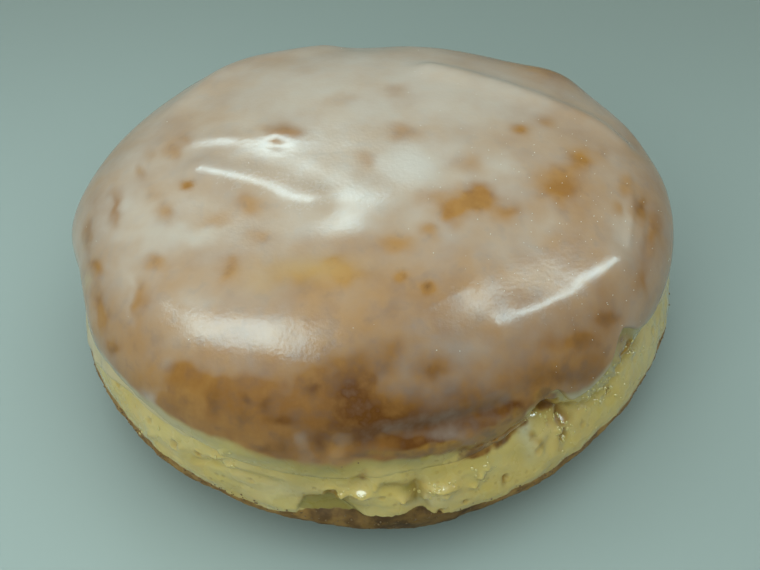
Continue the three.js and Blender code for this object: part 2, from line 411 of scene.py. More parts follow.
def profile(path, angle):
    """The radius and the height of the smooth skin."""
    dome, rim, bulge, lift, crease, crease_height = sizes_at(angle)
    share = path - np.floor(path)
    share = np.where(path >= 4, 1.0, share)
    turn = share * math.pi / 2
    faded = (1 - share) ** LOBE_FADE
    start = CREASE_HEIGHT + LIP_HEIGHT
    above_axis = np.clip(np.cos(turn), 0, 1)
    bands = [path < 0, path < 1, path < 2, path < 3, path >= 3]
    radius = np.select(bands, [
        FOOT_RADIUS * share,
        FOOT_RADIUS + (rim - FOOT_RADIUS) * np.sin(turn),
        rim + (crease - rim) * share ** COLLAR_HOLLOW,
        crease + (dome + bulge - crease) * np.sin(turn),
        dome * above_axis ** DOME_SIDE_FULLNESS + bulge * faded,
    ])
    height = np.select(bands, [
        0 * share,
        RIM_HEIGHT * (1 - np.cos(turn)),
        RIM_HEIGHT + (crease_height - RIM_HEIGHT) * share,
        crease_height + LIP_HEIGHT * (1 - np.cos(turn)),
        start + (BUN_HEIGHT - start) * np.sin(turn) ** DOME_TOP_FULLNESS + lift * faded,
    ])
    return radius, height


# %% The relief that the solid has too
def smooth_curve(through, steps=24):
    """Points along a smooth curve through the given ones."""
    ends = [through[0], *through, through[-1]]
    points = []
    for index in range(len(through) - 1):
        a, b, c, d = (np.array(point, float) for point in ends[index:index + 4])
        for t in np.linspace(0, 1, steps):
            points.append(0.5 * (2 * b + (c - a) * t + (2 * a - 5 * b + 4 * c - d) * t ** 2
                                 + (3 * b - a - 3 * c + d) * t ** 3))
    return np.array(points)


def distance_to_curve(places, curve):
    nearest = np.full(len(places), np.inf)
    for point in curve:
        nearest = np.minimum(nearest, np.hypot(*(places - point).T))
    return nearest


def dome_relief(points):
    places = points[:, :2]
    rise = np.zeros(len(points))
    for x, y, radius, by in DOME_SWELLINGS:
        rise += by * bell(np.hypot(*(places - (x, y)).T) / radius)
    for through, width, by in DOME_WRINKLES:
        rise += by * bell(distance_to_curve(places, smooth_curve(through)) / width)
    return rise


def collar_relief(angle, radius, height, share):
    rise = waves(angle, PUCKERS) * share
    for at, middle, wide, tall, by in COLLAR_MARKS:
        along = np.radians(turn_between(angle, at)) * radius / wide
        rise += by * bell(np.hypot(along, (height - middle) / tall))
    return rise


def roll_relief(angle, above):
    here = bell(turn_between(angle, ROLL_AT) / ROLL_REACH)
    return here * sum(by * bell((above - at) / ROLL_TALL) for at, by in (ROLL_CREASE, ROLL_SWELL))


def skin(path, angle):
    """Points of the bun's skin, in millimetres, and the direction that is outward at each."""
    radius, height = profile(path, angle)
    points = np.stack([radius * np.cos(np.radians(angle)), radius * np.sin(np.radians(angle)), height], 1)
    on_collar = np.clip(3 - path, 0, 1) * (path > 0)
    on_dome = np.clip(path - 2, 0, 1)
    rise = collar_relief(angle, radius, height, np.clip(path - 1, 0, 1)) * on_collar
    rise += dome_relief(points) * on_dome
    rise += roll_relief(angle, height - crease_height_at(angle) - LIP_HEIGHT) * (path > 2)
    outward = points - HEART
    outward /= np.linalg.norm(outward, axis=1)[:, None]
    return points + outward * rise[:, None], outward


# The solid's origin is the middle of its box in plan, so the form is centred the same way
trial_places = np.meshgrid(np.linspace(0, 4, 161), np.arange(0, 360, 2.0))
trial, _ = skin(*(values.ravel() for values in trial_places))
MIDDLE = np.array([*(trial.min(0) + trial.max(0))[:2] / 2, 0])
print("form, in millimetres:", np.round(np.ptp(trial, axis=0), 1), "middle:", np.round(MIDDLE, 2))


# %% [markdown]
# ## A mesh of rings
# A lathe's rings all have the same number of points, so its triangles shrink to needles at the
# middle. Here a ring may have half as many points as the one before it, which keeps the faces
# about as large everywhere, and both ends close in one point.

# %% Rings of points, and the faces between them
# A full ring has this many columns
COLUMNS = 640
CROWDING = 0.3
CROWDED_SIDE = 290


def ring_angles(count):
    """The angles of one ring's columns, which stand closer together on the front."""
    even = np.arange(count) / count * 360
    return even - np.degrees(CROWDING) * np.sin(np.radians(even - CROWDED_SIDE))


def faces_between(first, count, second, next_count):
    """Faces from one ring to the next above it, which has as many points, half or twice."""
    faces = []
    if count == next_count:
        for k in range(count):
            after = (k + 1) % count
            faces.append((first + k, first + after, second + after, second + k))
    elif count == 2 * next_count:
        for k in range(next_count):
            a, b, c = first + 2 * k, first + 2 * k + 1, first + (2 * k + 2) % count
            d, e = second + k, second + (k + 1) % next_count
            faces += [(a, b, d), (b, e, d), (b, c, e)]
    else:
        for k in range(count):
            a, b = first + k, first + (k + 1) % count
            c, d, e = second + 2 * k, second + 2 * k + 1, second + (2 * k + 2) % next_count
            faces += [(a, d, c), (a, b, d), (b, e, d)]
    return faces


def ring_faces(counts):
    """Faces of a closed skin of rings, from a point at the bottom to a point at the top."""
    faces = [(0, 1 + (k + 1) % counts[0], 1 + k) for k in range(counts[0])]
    first = 1
    for count, next_count in zip(counts, counts[1:]):
        faces += faces_between(first, count, first + count, next_count)
        first += count
    faces += [(first + k, first + (k + 1) % counts[-1], first + counts[-1]) for k in range(counts[-1])]
    return faces


def make_piece(name, points, faces, finish, attributes):
    """A smooth-shaded object from points in millimetres, with named values at its points."""
    mesh = bpy.data.meshes.new(name)
    mesh.from_pydata((points - MIDDLE) * MM, [], faces)
    mesh.shade_smooth()
    for label, values in attributes.items():
        mesh.attributes.new(label, "FLOAT", "POINT").data.foreach_set("value", values.astype(np.float32))
    mesh.materials.append(finish)
    piece = bpy.data.objects.new(name, mesh)
    bpy.context.scene.collection.objects.link(piece)
    print(name, len(mesh.vertices), "points,", sum(len(face) - 2 for face in faces), "triangles")
    return piece


def cloud(points, size, seed, octaves=2):
    """Smooth seeded noise from about -1 to 1 at points in millimetres, with lumps of that size."""
    total = np.zeros(len(points))
    for octave in range(octaves):
        scaled = points / size * 2 ** octave + 31.7 * seed
        total += np.array([noise.noise(point) for point in scaled.tolist()]) / 2 ** octave
    return total


def smoothstep(low, high, value):
    share = np.clip((value - low) / (high - low), 0, 1)
    return share * share * (3 - 2 * share)


# %% Marks placed where the photo shows them
PICTURE = (760, 570)
# A mark so broad that it covers the whole picture
WHOLE_PICTURE = (*PICTURE, 1e6, 1e6, 1)
# Marks fade out where the skin turns away from the camera
FACING_FADE = (0.02, 0.2)
STRAY_SIZE = 3.5
STRAY_SHARE = 0.7


def seen_at(points):
    """Where the camera sees points given in millimetres, in pixels from the picture's top left."""
    to_camera = np.array(camera.matrix_world.inverted())
    local = (points - MIDDLE) * MM @ to_camera[:3, :3].T + to_camera[:3, 3]
    scale = CAMERA_LENS / camera.data.sensor_width * PICTURE[0] / -local[:, 2]
    return PICTURE[0] / 2 + scale * local[:, 0], PICTURE[1] / 2 - scale * local[:, 1]


def marks(points, outward, places, stray=0.0):
    """Blotches on the side that the photo shows: across, down, half width, half height, amount.

    Noise makes their outlines stray by that many pixels, but less on a flat blotch."""
    toward = np.array(CAMERA_PLACE) / MM + MIDDLE - points
    facing = (toward * outward).sum(1) / np.linalg.norm(toward, axis=1)
    across, down = seen_at(points)
    strays = (cloud(points, STRAY_SIZE, 21), cloud(points, STRAY_SIZE, 22)) if stray else (0.0, 0.0)
    total = np.zeros(len(points))
    for u, v, wide, tall, by in places:
        reach = min(stray, STRAY_SHARE * tall)
        aside, away = across + reach * strays[0] - u, down + reach * strays[1] - v
        total += by * bell(np.hypot(aside / wide, away / tall))
    return total * smoothstep(*FACING_FADE, facing)


# %% [markdown]
# ## Dough
# The collar is the part of the bun that never touched the fat: pale, moist and soft, with burst
# bubbles, folds and puckers just below the lip. The underside is fried brown and rough. One closed
# mesh has both, fine enough for pits of a millimetre, and sinks below the glaze on the dome. Its
# points carry how brown, how moist and how blistered they are, and the finish reads that.

# %% Dough: rows of the mesh
# Bands of rows: from which path to which, how many rows, and one column kept of how many
DOUGH_BANDS = [
    (-0.9, -0.3, 3, 8), (-0.3, 0, 3, 4), (0, 0.5, 16, 2), (0.5, 1, 26, 1), (1, 2, 60, 1), (2, 3, 22, 1),
    (3, 3.1, 6, 1), (3.1, 3.35, 9, 2), (3.35, 3.7, 12, 4), (3.7, 3.99, 9, 8),
]
DOUGH_ROWS = [
    (path, COLUMNS // coarseness)
    for start, end, count, coarseness in DOUGH_BANDS
    for path in np.linspace(start, end, count, endpoint=False)
]


def lay_rows(rows, bottom, top):
    """The path and angle of every point of a skin of rings, and its faces."""
    path = np.concatenate([[bottom], *(np.full(count, at) for at, count in rows), [top]])
    angle = np.concatenate([[0], *(ring_angles(count) for _, count in rows), [0]])
    return path, angle, ring_faces([count for _, count in rows])


dough_path, dough_angle, dough_faces = lay_rows(DOUGH_ROWS, -1.0, 4.0)

# %% Dough: burst bubbles and folds, in millimetres
PIT_SEED = 7
PIT_COUNT = 70

# Folds of the collar: points as angle and height, width, rise
COLLAR_FOLDS = [
    ([(270.6, 18.3), (274, 17.7), (276.4, 16.9), (277.6, 15.0), (278.4, 13.2)], 0.7, -0.6),
    ([(288, 21.8), (291.5, 22.3), (296, 22.4), (300, 22.2)], 0.5, -0.6),
    ([(233, 15.6), (238, 17.2), (243, 17.4), (250, 16.8)], 0.6, -0.35),
    ([(312, 20.0), (316, 18.2), (321, 17.4), (327, 18.0)], 0.6, -0.4),
    ([(30, 18.5), (38, 17.2), (47, 17.6)], 0.6, -0.6),
    ([(92, 19.0), (101, 17.2), (109, 17.9)], 0.6, -0.6),
    ([(160, 18.0), (168, 16.2), (178, 16.6)], 0.6, -0.5),
]

# Small burst bubbles that show on the front: angle, height, radius, depth
SHOWN_PITS = [
    (302.6, 18.3, 0.5, 0.25), (303.6, 17.0, 0.5, 0.25), (309.6, 16.1, 0.8, 0.7),
    (310.8, 18.9, 1.1, 0.8), (295.0, 14.2, 0.5, 0.5), (324.5, 16.4, 0.5, 0.8), (290.0, 22.4, 0.6, 1.2),
    (293.5, 21.6, 0.4, 0.7), (260.6, 16.3, 0.9, 1.0), (305.0, 23.2, 1.5, 1.4), (307.5, 22.6, 1.2, 1.0),
    (329.5, 23.6, 1.4, 1.6), (286.0, 12.9, 0.4, 0.5), (281.0, 12.6, 0.5, 0.5), (233.5, 17.0, 0.5, 0.5),
    (228.0, 16.2, 0.7, 0.4),
]


def scattered_pits():
    """Seeded small bubbles all round the collar."""
    draw = random.Random(PIT_SEED)
    return [
        (draw.uniform(0, 360), draw.uniform(12.5, 21), draw.uniform(0.3, 0.6), draw.uniform(0.1, 0.35))
        for _ in range(PIT_COUNT)
    ]


def pit_relief(angle, radius, height, pits):
    """Round pits with a slightly raised rim, and how deep in a pit each point lies."""
    rise = np.zeros(len(angle))
    inside = np.zeros(len(angle))
    for at, middle, size, depth in pits:
        away = np.hypot(np.radians(turn_between(angle, at)) * radius, height - middle) / size
        rise -= depth * bell(away ** 1.5)
        rise += 0.25 * depth * bell((away - 1.5) / 0.4)
        inside = np.maximum(inside, depth * bell(away))
    return rise, inside


def fold_relief(angle, radius, height):
    """Folds pressed into the collar, and how near to the bottom of a fold each point lies."""
    rise = np.zeros(len(angle))
    inside = np.zeros(len(angle))
    for through, width, by in COLLAR_FOLDS:
        nearest = np.full(len(angle), np.inf)
        for at, middle in smooth_curve(through):
            away = np.hypot(np.radians(turn_between(angle, at)) * radius, height - middle)
            nearest = np.minimum(nearest, away)
        rise += by * bell(nearest / width)
        inside = np.maximum(inside, -by * bell(nearest / width))
    return rise, inside


# %% Dough: the front, where the lip runs into the collar
# The middle of the front and its reach, in degrees
FRONT_AT, FRONT_REACH = 263, 33
# There the crease is filled from this path up to that one, to this share of its depth
FILL_FROM, FILL_TO, FILL_SHARE = 1.35, 3.0, 0.93
# How far the dough lies below the skin under the glaze
GLAZE_ROOM = 0.55


def on_front(angle):
    """1 where the photo looks straight at the collar, and 0 at the sides and behind."""
    return bell((turn_between(angle, FRONT_AT) / FRONT_REACH) ** 2)


def front_fill(path, angle):
    """How far the dough swells into the crease on the front, where the lip runs into the collar."""
    radius, height = profile(path, angle)
    low_radius, low_height = profile(np.full(len(path), FILL_FROM), angle)
    high_radius, high_height = profile(np.full(len(path), FILL_TO), angle)
    share = np.clip((height - low_height) / (high_height - low_height), 0, 1)
    bridge = low_radius + (high_radius - low_radius) * share
    filled = np.clip(bridge - radius, 0, None) * (path > FILL_FROM) * (path < FILL_TO)
    return FILL_SHARE * on_front(angle) * filled


def under_glaze(path, angle):
    """How much the dough sinks to make room for the glaze: all of it on the dome, none on the collar."""
    front = on_front(angle)
    return smoothstep(2.3 + 0.7 * front, 3.0 + 0.1 * front, path)


def soft_lumps(points):
    return 0.30 * cloud(points, 4.2, 1) + 0.10 * cloud(points, 1.8, 2)


# %% Dough: the ledge over the brown, the wet lumps and the drawn-in underside
# A ledge of pale dough hangs over a hollow at the brown's edge: its lower edge as angle and height
LEDGE = [
    (254, 12.6), (255.4, 14.8), (256.6, 15.2), (258, 15.0), (259.4, 15.8), (260.8, 15.6), (262.4, 14.6),
    (264.4, 14.0), (267, 12.4),
]
LEDGE_DEPTH = 0.7


def below_ledge(angle, height):
    """1 in the hollow below the ledge, and 0 elsewhere."""
    edge = np.interp(angle, *zip(*LEDGE), left=0, right=0)
    return smoothstep(0.4, -0.8, height - edge) * smoothstep(9.5, 12.5, height)


# Where the collar is blistered and beaded, in the photo's pixels: across, down, half sizes, amount
BLISTER_MARKS = [
    (598, 384, 18, 20, 0.9), (628, 350, 10, 7, 0.7), (563, 432, 8, 12, 0.9), (478, 470, 8, 12, 0.5),
    (545, 415, 14, 10, 0.5), (226, 453, 13, 6, 0.5), (360, 486, 16, 5, 0.4), (440, 481, 14, 5, 0.4),
    (425, 492, 14, 7, 0.3), (152, 430, 14, 8, 0.2),
]

# Wet lumps of the collar that glint, in the photo's pixels: across, down, half width, half height, rise
WET_LUMPS = [
    (440, 485, 12, 4.5, 1.2), (362, 490, 9, 4.5, 1.0), (343, 490, 5, 4, 0.85), (221, 451, 9, 3.5, 0.85),
    (233, 460, 7, 3.5, 0.8), (423, 496, 4, 5, 0.85), (403, 496, 3.5, 4, 0.75), (446, 495, 4, 3.5, 0.7),
    (479, 472, 4, 5, 0.85), (485, 464, 4, 3.5, 0.7), (474, 484, 4, 3.5, 0.65), (601, 390, 4, 4, 0.6),
    (613, 374, 4, 4, 0.6), (586, 398, 4, 4, 0.6), (629, 353, 5, 4, 0.6), (375, 481, 3, 4.5, 0.5),
    (558, 430, 3.5, 3.5, 0.5), (150, 434, 8, 3.5, 0.4), (178, 447, 7, 3.5, 0.4),
    (592, 378, 3.5, 3.5, 0.5), (605, 381, 3, 3, 0.45), (596, 368, 3, 3, 0.4), (618, 362, 3.5, 3.5, 0.5),
    (576, 402, 3, 3, 0.4),
]

# Where the underside is drawn in below the rim: angle, reach, millimetres
TUCKS = [(246, 16, 0.75), (264, 9, 0.45), (294, 8, 0.75), (315, 20, 0.75)]
TUCK_AT, TUCK_REACH = 0.66, 0.30
# Where the lip's edge is toasted: angle and reach
TOASTED_AT, TOASTED_REACH = 284, 20

# %% Dough: its points
smooth_points, dough_out = skin(dough_path, dough_angle)
dough_radius = np.hypot(smooth_points[:, 0], smooth_points[:, 1])
dough_height = smooth_points[:, 2]
on_collar = smoothstep(0.75, 1.0, dough_path)
near_collar = on_collar * (1 - smoothstep(2.9, 3.0, dough_path))
on_underside = (1 - smoothstep(0.9, 1.08, dough_path)) * smoothstep(0.0, 0.25, dough_path)
toasted = smoothstep(2.35, 2.7, dough_path) * (1 - smoothstep(2.8, 2.95, dough_path))
toasted *= bell(turn_between(dough_angle, TOASTED_AT) / TOASTED_REACH)
sinking = under_glaze(dough_path, dough_angle)
hollow = below_ledge(dough_angle % 360, dough_height) * (dough_path < 2)
blister_zone = marks(smooth_points, dough_out, BLISTER_MARKS)

pits_rise, in_pit = pit_relief(dough_angle, dough_radius, dough_height, SHOWN_PITS + scattered_pits())
folds_rise, in_fold = fold_relief(dough_angle, dough_radius, dough_height)
rise = (pits_rise + folds_rise) * near_collar - LEDGE_DEPTH * hollow
rise += soft_lumps(smooth_points) * on_collar * (1 - sinking)
rise += front_fill(dough_path, dough_angle)
rise -= lobes(dough_angle, TUCKS) * bell((dough_path - TUCK_AT) / TUCK_REACH)
rise += marks(smooth_points, dough_out, WET_LUMPS)

# Roughness: millimetres, size of its lumps, seed, octaves, and where it is
ROUGH_ZONES = [
    (0.10, 0.8, 9, 2, blister_zone * near_collar),
    (0.14, 1.0, 3, 3, on_underside),
    (0.30, 5.0, 4, 2, on_underside),
    (0.07, 0.9, 5, 2, toasted),
]
for by, size, seed, octaves, where in ROUGH_ZONES:
    rise += by * cloud(smooth_points, size, seed, octaves) * where

rise -= GLAZE_ROOM * sinking * (1 - 0.7 * toasted)
dough_points = smooth_points + dough_out * rise[:, None]
dough_points[:, 2] = np.maximum(dough_points[:, 2], 0)
print("dough, relief in millimetres:", np.round([rise.min(), rise.max()], 2))

# %% Dough: its finish
def cream_colour(finish, broad, fine, pores):
    """The pale dough: yellower where moist, olive where shade is painted on, brown in pores and burst
    bubbles.
    """
    names = ("moist", "milky", "soaked", "pitted")
    moist, milky, soaked, pitted = map(finish.attribute, names)
    cream = finish.mix(broad.ramp(0.35, 0.65), colour(0.61, 0.43, 0.168), colour(0.55, 0.362, 0.103))
    cream = finish.mix(fine.ramp(0.55, 0.75) * 0.4, cream, colour(0.65, 0.50, 0.22))
    cream = finish.mix(moist * 0.5, cream, colour(0.54, 0.39, 0.10))
    # Paler where glaze is smeared on, and where a highlight is painted beside the wet glints
    cream = finish.mix(milky, cream, colour(0.51, 0.435, 0.275))
    # Painted shade turns the cream olive
    cream = finish.mix(soaked, cream, colour(0.27, 0.195, 0.04))
    cream = finish.mix(pores * 0.35, cream, colour(0.36, 0.225, 0.05))
    return finish.mix((pitted + (fine - 0.5) * pitted).clamped(), cream, colour(0.34, 0.175, 0.028))


def fried_colour(finish, broad, fine):
    """The underside's brown, darker where it is charred."""
    crust = finish.mix(fine.ramp(0.35, 0.65), colour(0.36, 0.185, 0.048), colour(0.21, 0.098, 0.024))
    dark = finish.mix(fine.ramp(0.35, 0.65), colour(0.17, 0.085, 0.022), colour(0.065, 0.030, 0.009))
    charred = finish.attribute("charred") + (broad - 0.5) * 0.6
    return finish.mix(charred.clamped(), crust, dark)


def toasted_over(finish, under, broad, fine):
    """Another colour with the lip's toasted edge over it."""
    edge = finish.attribute("toast") + (fine - 0.5) * 1.2 + (broad - 0.5) * 0.6
    toast = finish.mix(fine.ramp(0.35, 0.65), colour(0.31, 0.142, 0.026), colour(0.19, 0.078, 0.015))
    return finish.mix(edge.ramp(0.25, 0.9), under, toast)


def dough_look(finish):
    """The settings of the dough's shader, from the values at the points."""
    moist = finish.attribute("moist")
    broad = finish.noise(0.006, detail=3.0, seed=1.0)
    fine = finish.noise(0.0012, detail=3.0, seed=2.0)
    grain = finish.noise(0.0004, detail=2.0, seed=3.0)
    pores = (1 - finish.cells(0.0014, seed=4.0).ramp(0.10, 0.30)) * broad.ramp(0.42, 0.60)
    edge = (finish.attribute("baked") + (fine - 0.5) * 0.5 + (broad - 0.5) * 0.3).ramp(0.3, 0.62)
    pale, fried = cream_colour(finish, broad, fine, pores), fried_colour(finish, broad, fine)
    return {
        "Base_Color": toasted_over(finish, finish.mix(edge, pale, fried), broad, fine),
        "Roughness": (0.36 - moist * 0.16 + (fine - 0.5) * 0.15 + edge * 0.5).clamped(),
        "Coat_Weight": (moist * 0.6 + 0.4 - edge).clamped(),
        "Coat_Roughness": 0.08,
        "Normal": finish.bump(grain, 0.00008, 0.5, finish.bump(fine - pores * 0.6, 0.0003, 0.5)),
        "Subsurface_Weight": 0.25,
        "Subsurface_Radius": (1.0, 0.7, 0.3),
        "Subsurface_Scale": 0.0012,
        "Specular_IOR_Level": 0.35,
    }


def dough_finish():
    finish = new_finish("dough")
    finish.set(**dough_look(finish))
    return finish.made


# %% Dough: where it is brown, pitted and milky, and where shade is painted
# How high the brown of the underside reaches, in millimetres, at angles round the bun
BROWN_LINE = [
    (0, 11.6), (40, 12.2), (90, 11.8), (140, 12.4), (180, 12.0), (200, 12.4), (210, 12.4), (220, 12.2),
    (230, 11.9), (240, 10.9), (250, 10.7), (255, 11.9), (260, 12.4), (266, 12.8), (271, 12.7),
    (275, 13.8), (279, 12.7), (285, 11.2), (290, 11.1), (298, 11.4), (310, 12.0), (320, 11.9),
    (335, 12.0), (360, 11.6),
]
# How brown the lip is, at angles round the bun
BROWN_LIP = [
    (0, 0.7), (60, 0.5), (120, 0.8), (180, 0.6), (240, 0.3), (262, 0.1), (285, 0.15), (297, 0.3),
    (303, 0.1), (316, 0.3), (334, 0.3), (360, 0.7),
]

# Marks of the dough in the photo's pixels: across, down, half width, half height, amount
TOAST_MARKS = [
    (436, 448, 14, 4, 0.7), (456, 443, 12, 4, 0.5), (474, 437, 12, 4, 0.5), (490, 430, 11, 4, 0.5),
    (505, 421, 11, 5, 0.5), (517, 411, 9, 6, 0.5), (370, 453, 9, 4, 0.8), (388, 454, 11, 4, 0.9),
    (410, 452, 13, 5, 1.0), (432, 446, 12, 5, 0.9), (449, 443, 10, 5, 0.7), (466, 450, 11, 5, 0.6),
    (480, 446, 10, 6, 0.9), (493, 438, 11, 7, 1.0), (506, 430, 11, 7, 1.0), (519, 420, 9, 7, 1.0),
    (364, 468, 8, 5, 0.7), (546, 394, 13, 8, 1.0), (541, 404, 9, 8, 0.8), (560, 418, 6, 6, 0.6),
    (626, 342, 8, 7, 0.7),
]
# Painted shade on the dough: olive darkening under the lip's roll, in folds, in pockets and the recess,
# and on darker parts of the collar
PAINTED_SHADE_ON_DOUGH = [
    (250, 482, 26, 9, 0.15), (420, 470, 24, 6, 0.2), (325, 470, 40, 8, 0.35), (300, 480, 20, 8, 0.25),
    (520, 452, 16, 10, 0.3), (392, 476, 15, 4, 0.5), (408, 484, 7, 6, 0.6), (416, 495, 5, 7, 0.6),
    (425, 460, 40, 7, 0.3), (475, 452, 22, 8, 0.3), (545, 400, 14, 8, 0.8), (561, 415, 7, 6, 0.8),
    (533, 433, 3, 4, 0.6), (562, 437, 4, 5, 0.6), (541, 446, 3, 4, 0.5), (627, 338, 9, 8, 0.8),
    (505, 480, 2, 5, 0.5), (335, 506, 26, 8, 1.0), (325, 459, 70, 7, 0.30), (190, 455, 10, 8, 0.2),
    (178, 440, 5, 5, 0.3),
]
PITTED_MARKS = [
    (543, 402, 11, 9, 0.9), (560, 418, 8, 7, 0.9), (531, 435, 3, 4, 0.7), (539, 444, 3, 4, 0.6),
    (561, 434, 4, 6, 0.8), (560, 449, 3, 3, 0.4), (505, 480, 2.5, 5, 0.6), (607, 390, 3, 3, 0.6),
    (626, 342, 8, 7, 0.7), (600, 372, 10, 8, 0.25), (620, 355, 10, 10, 0.3), (332, 494, 6, 4, 0.7),
    (310, 497, 6, 4, 0.6), (402, 478, 20, 4, 0.35), (415, 490, 5, 9, 0.4),
]
CHARRED_MARKS = [(385, 518, 60, 20, 1.0), (455, 512, 38, 14, 0.8), (320, 515, 24, 10, 0.5)]
# Pale glaze smeared on the collar, and a painted highlight beside the wet glints on the front
SMEAR_AND_SHEEN_MARKS = [
    (420, 500, 10, 8, 0.4), (524, 428, 9, 14, 0.8), (530, 450, 8, 12, 0.5), (285, 485, 34, 12, 0.4),
    (440, 500, 30, 8, 0.3),
]


def dough_values(points, outward, path, angle, in_pit=0, in_fold=0, hollow=0):
    """How baked, pitted, charred, toasted, milky and moist the dough is at its points, and how much shade
    is painted on it.
    """
    height = points[:, 2]
    ragged = 0.30 * cloud(points, 2.2, 6) + 0.25 * cloud(points, 7, 7) + 0.16 * cloud(points, 0.8, 23)
    above_brown = height + ragged - np.interp(angle % 360, *zip(*BROWN_LINE))
    baked = np.where(path < 1.6, 1 - smoothstep(-0.45, 0.35, above_brown), 0)
    baked += smoothstep(2.5, 2.95, path + 0.2 * ragged) * np.interp(angle % 360, *zip(*BROWN_LIP))
    # Painted shade: darker toward the right side, under the lip's roll, toward the bottom of the collar,
    # in folds and in the hollow under the ledge
    soaked = marks(points, outward, PAINTED_SHADE_ON_DOUGH, stray=3) + 0.12 * smoothstep(8, 32, points[:, 0])
    soaked += 0.45 * smoothstep(2.2, 2.9, path) + 0.16 * smoothstep(17.5, 12.5, height)
    values = {
        "baked": baked,
        "pitted": marks(points, outward, PITTED_MARKS, stray=3) + 1.4 * in_pit,
        "soaked": soaked + 0.6 * in_fold + 0.7 * hollow * (path > 1),
        "charred": 0.1 + marks(points, outward, CHARRED_MARKS),
        "toast": marks(points, outward, TOAST_MARKS, stray=2),
        "milky": marks(points, outward, SMEAR_AND_SHEEN_MARKS),
        "moist": 0.5 + 0.9 * cloud(points, 6, 8) + marks(points, outward, BLISTER_MARKS),
    }
    return {name: np.clip(value, 0, 1) for name, value in values.items()}


dough = make_piece("dough", dough_points, dough_faces, dough_finish(), {
    **dough_values(smooth_points, dough_out, dough_path, dough_angle, in_pit, in_fold, hollow),
    "blister": np.clip(blister_zone, 0, 1) * near_collar,
    "crumbly": np.clip(bell((dough_path - 0.97) / 0.05) + 0.25 * toasted, 0, 1),
})

# %% [markdown]
# ## Glaze
# The dipped glaze ends in an uneven hem. At the sides it runs over the lip onto the pale collar as
# a translucent ribbon, and on the front it thins out to nothing over the filled crease. It is made
# as a real shell: an outer skin with a rounded edge, closed by an inner skin that lies in the
# dough. The brown crust shows where the sugar is thin. Real transparency would dull the gloss, so
# the crust is painted on the shell from named thin patches. Where the film thins out on the front,
# the shell's finish turns into the dough's own, which hides the step between the two pieces.

# %% Glaze: where its hem hangs
# The height of the hem, in millimetres, at angles round the bun
HEM = [
    (0, 15.6), (14, 17.0), (30, 19.0), (46, 17.5), (60, 16.5), (75, 15.8), (90, 17.0), (105, 19.5),
    (118, 20.5), (132, 18.5), (148, 16.5), (160, 14.6), (174, 13.2), (185, 12.4), (192, 12.1),
    (198, 13.0), (205, 15.5), (211, 16.8), (217, 17.6), (224, 18.3), (230, 19.4), (236, 20.4),
    (243, 20.8), (250, 20.2), (256, 20.2), (262, 20.6), (268, 20.9), (276, 20.8), (284, 21.6),
    (287, 22.4), (292, 21.6), (295, 22.4), (297.6, 22.8), (300, 22.6), (302, 23.2), (303.4, 24.4),
    (304.6, 25.6), (306, 26.4), (309, 26.0), (311, 22.8), (313, 20.6), (316, 20.8), (320, 21.6),
    (324, 23.0), (326.5, 26.0), (329, 27.4), (331.5, 26.2), (334, 24.2), (338, 21.9), (344, 19.6),
    (348, 18.0), (352, 16.8), (356, 16.0), (360, 15.6),
]
# On the front the hem is ragged and lies lower, where the film is too thin to show
RAGGED_HEM = [(23, 0.35, 4), (37, 0.30, 10), (61, 0.25, 50), (97, 0.18, 23)]
FRONT_DROP = 1.7
HEM_STEP = 0.25
HEM_SOFTNESS = 0.9


def hem_height(angle):
    """The hem's height at any angle, with its corners rounded off, and ragged on the front."""
    steps = np.arange(-20, 380, HEM_STEP)
    heights = np.interp(steps % 360, *zip(*HEM))
    reach = np.arange(-4 * HEM_SOFTNESS, 4 * HEM_SOFTNESS + HEM_STEP, HEM_STEP)
    weights = bell(reach / HEM_SOFTNESS)
    rounded = np.interp(angle % 360, steps, np.convolve(heights, weights / weights.sum(), "same"))
    return rounded + (waves(angle, RAGGED_HEM) - FRONT_DROP) * on_front(angle)


def path_at_height(angle, height):
    """Where the skin reaches a height, on the collar, the lip or the dome's foot."""
    crease_height = crease_height_at(angle)
    on_collar = 1 + (height - RIM_HEIGHT) / (crease_height - RIM_HEIGHT)
    up_lip = np.clip((height - crease_height) / LIP_HEIGHT, 0, 1)
    on_lip = 2 + np.arccos(1 - up_lip) / (math.pi / 2)
    above_lip = np.clip(height - crease_height - LIP_HEIGHT, 0, None)
    up_dome = above_lip / (BUN_HEIGHT - CREASE_HEIGHT - LIP_HEIGHT)
    on_dome = 3 + np.arcsin(up_dome ** (1 / DOME_TOP_FULLNESS)) / (math.pi / 2)
    return np.select([height < crease_height, up_lip < 1], [on_collar, on_lip], on_dome)


# %% Glaze: rows of the mesh, from the hem up to the top
# Lengths of the dome, the lip and the collar along the skin, in millimetres, which space the rows
BAND_LENGTHS = {"dome": 57.0, "lip": 5.5, "collar": 9.0}
# Rows close to the hem, in millimetres from it
EDGE_STEPS = [0.0, 0.06, 0.16, 0.3, 0.5, 0.75, 1.05, 1.4]
# Bands of rows: shares of the way from the top to the hem, rows, and one column kept of how many
OUTER_BANDS = [
    (1, 0.5, 78, 1), (0.5, 0.24, 34, 2), (0.24, 0.12, 16, 4), (0.12, 0.05, 9, 8), (0.05, 0.015, 5, 16),
]
# Rows of the inner skin: share of the way, and one column kept of how many
INNER_ROWS = [(0.05, 16), (0.12, 8), (0.25, 4), (0.5, 2), (0.8, 1), (0.96, 1)]


def path_from_top(length):
    """The path at a length down the skin from the top."""
    below_dome = length - BAND_LENGTHS["dome"]
    below_lip = below_dome - BAND_LENGTHS["lip"]
    on_dome = 4 - length / BAND_LENGTHS["dome"]
    on_lip = 3 - below_dome / BAND_LENGTHS["lip"]
    on_collar = 2 - below_lip / BAND_LENGTHS["collar"]
    return np.select([below_dome < 0, below_lip < 0], [on_dome, on_lip], on_collar)


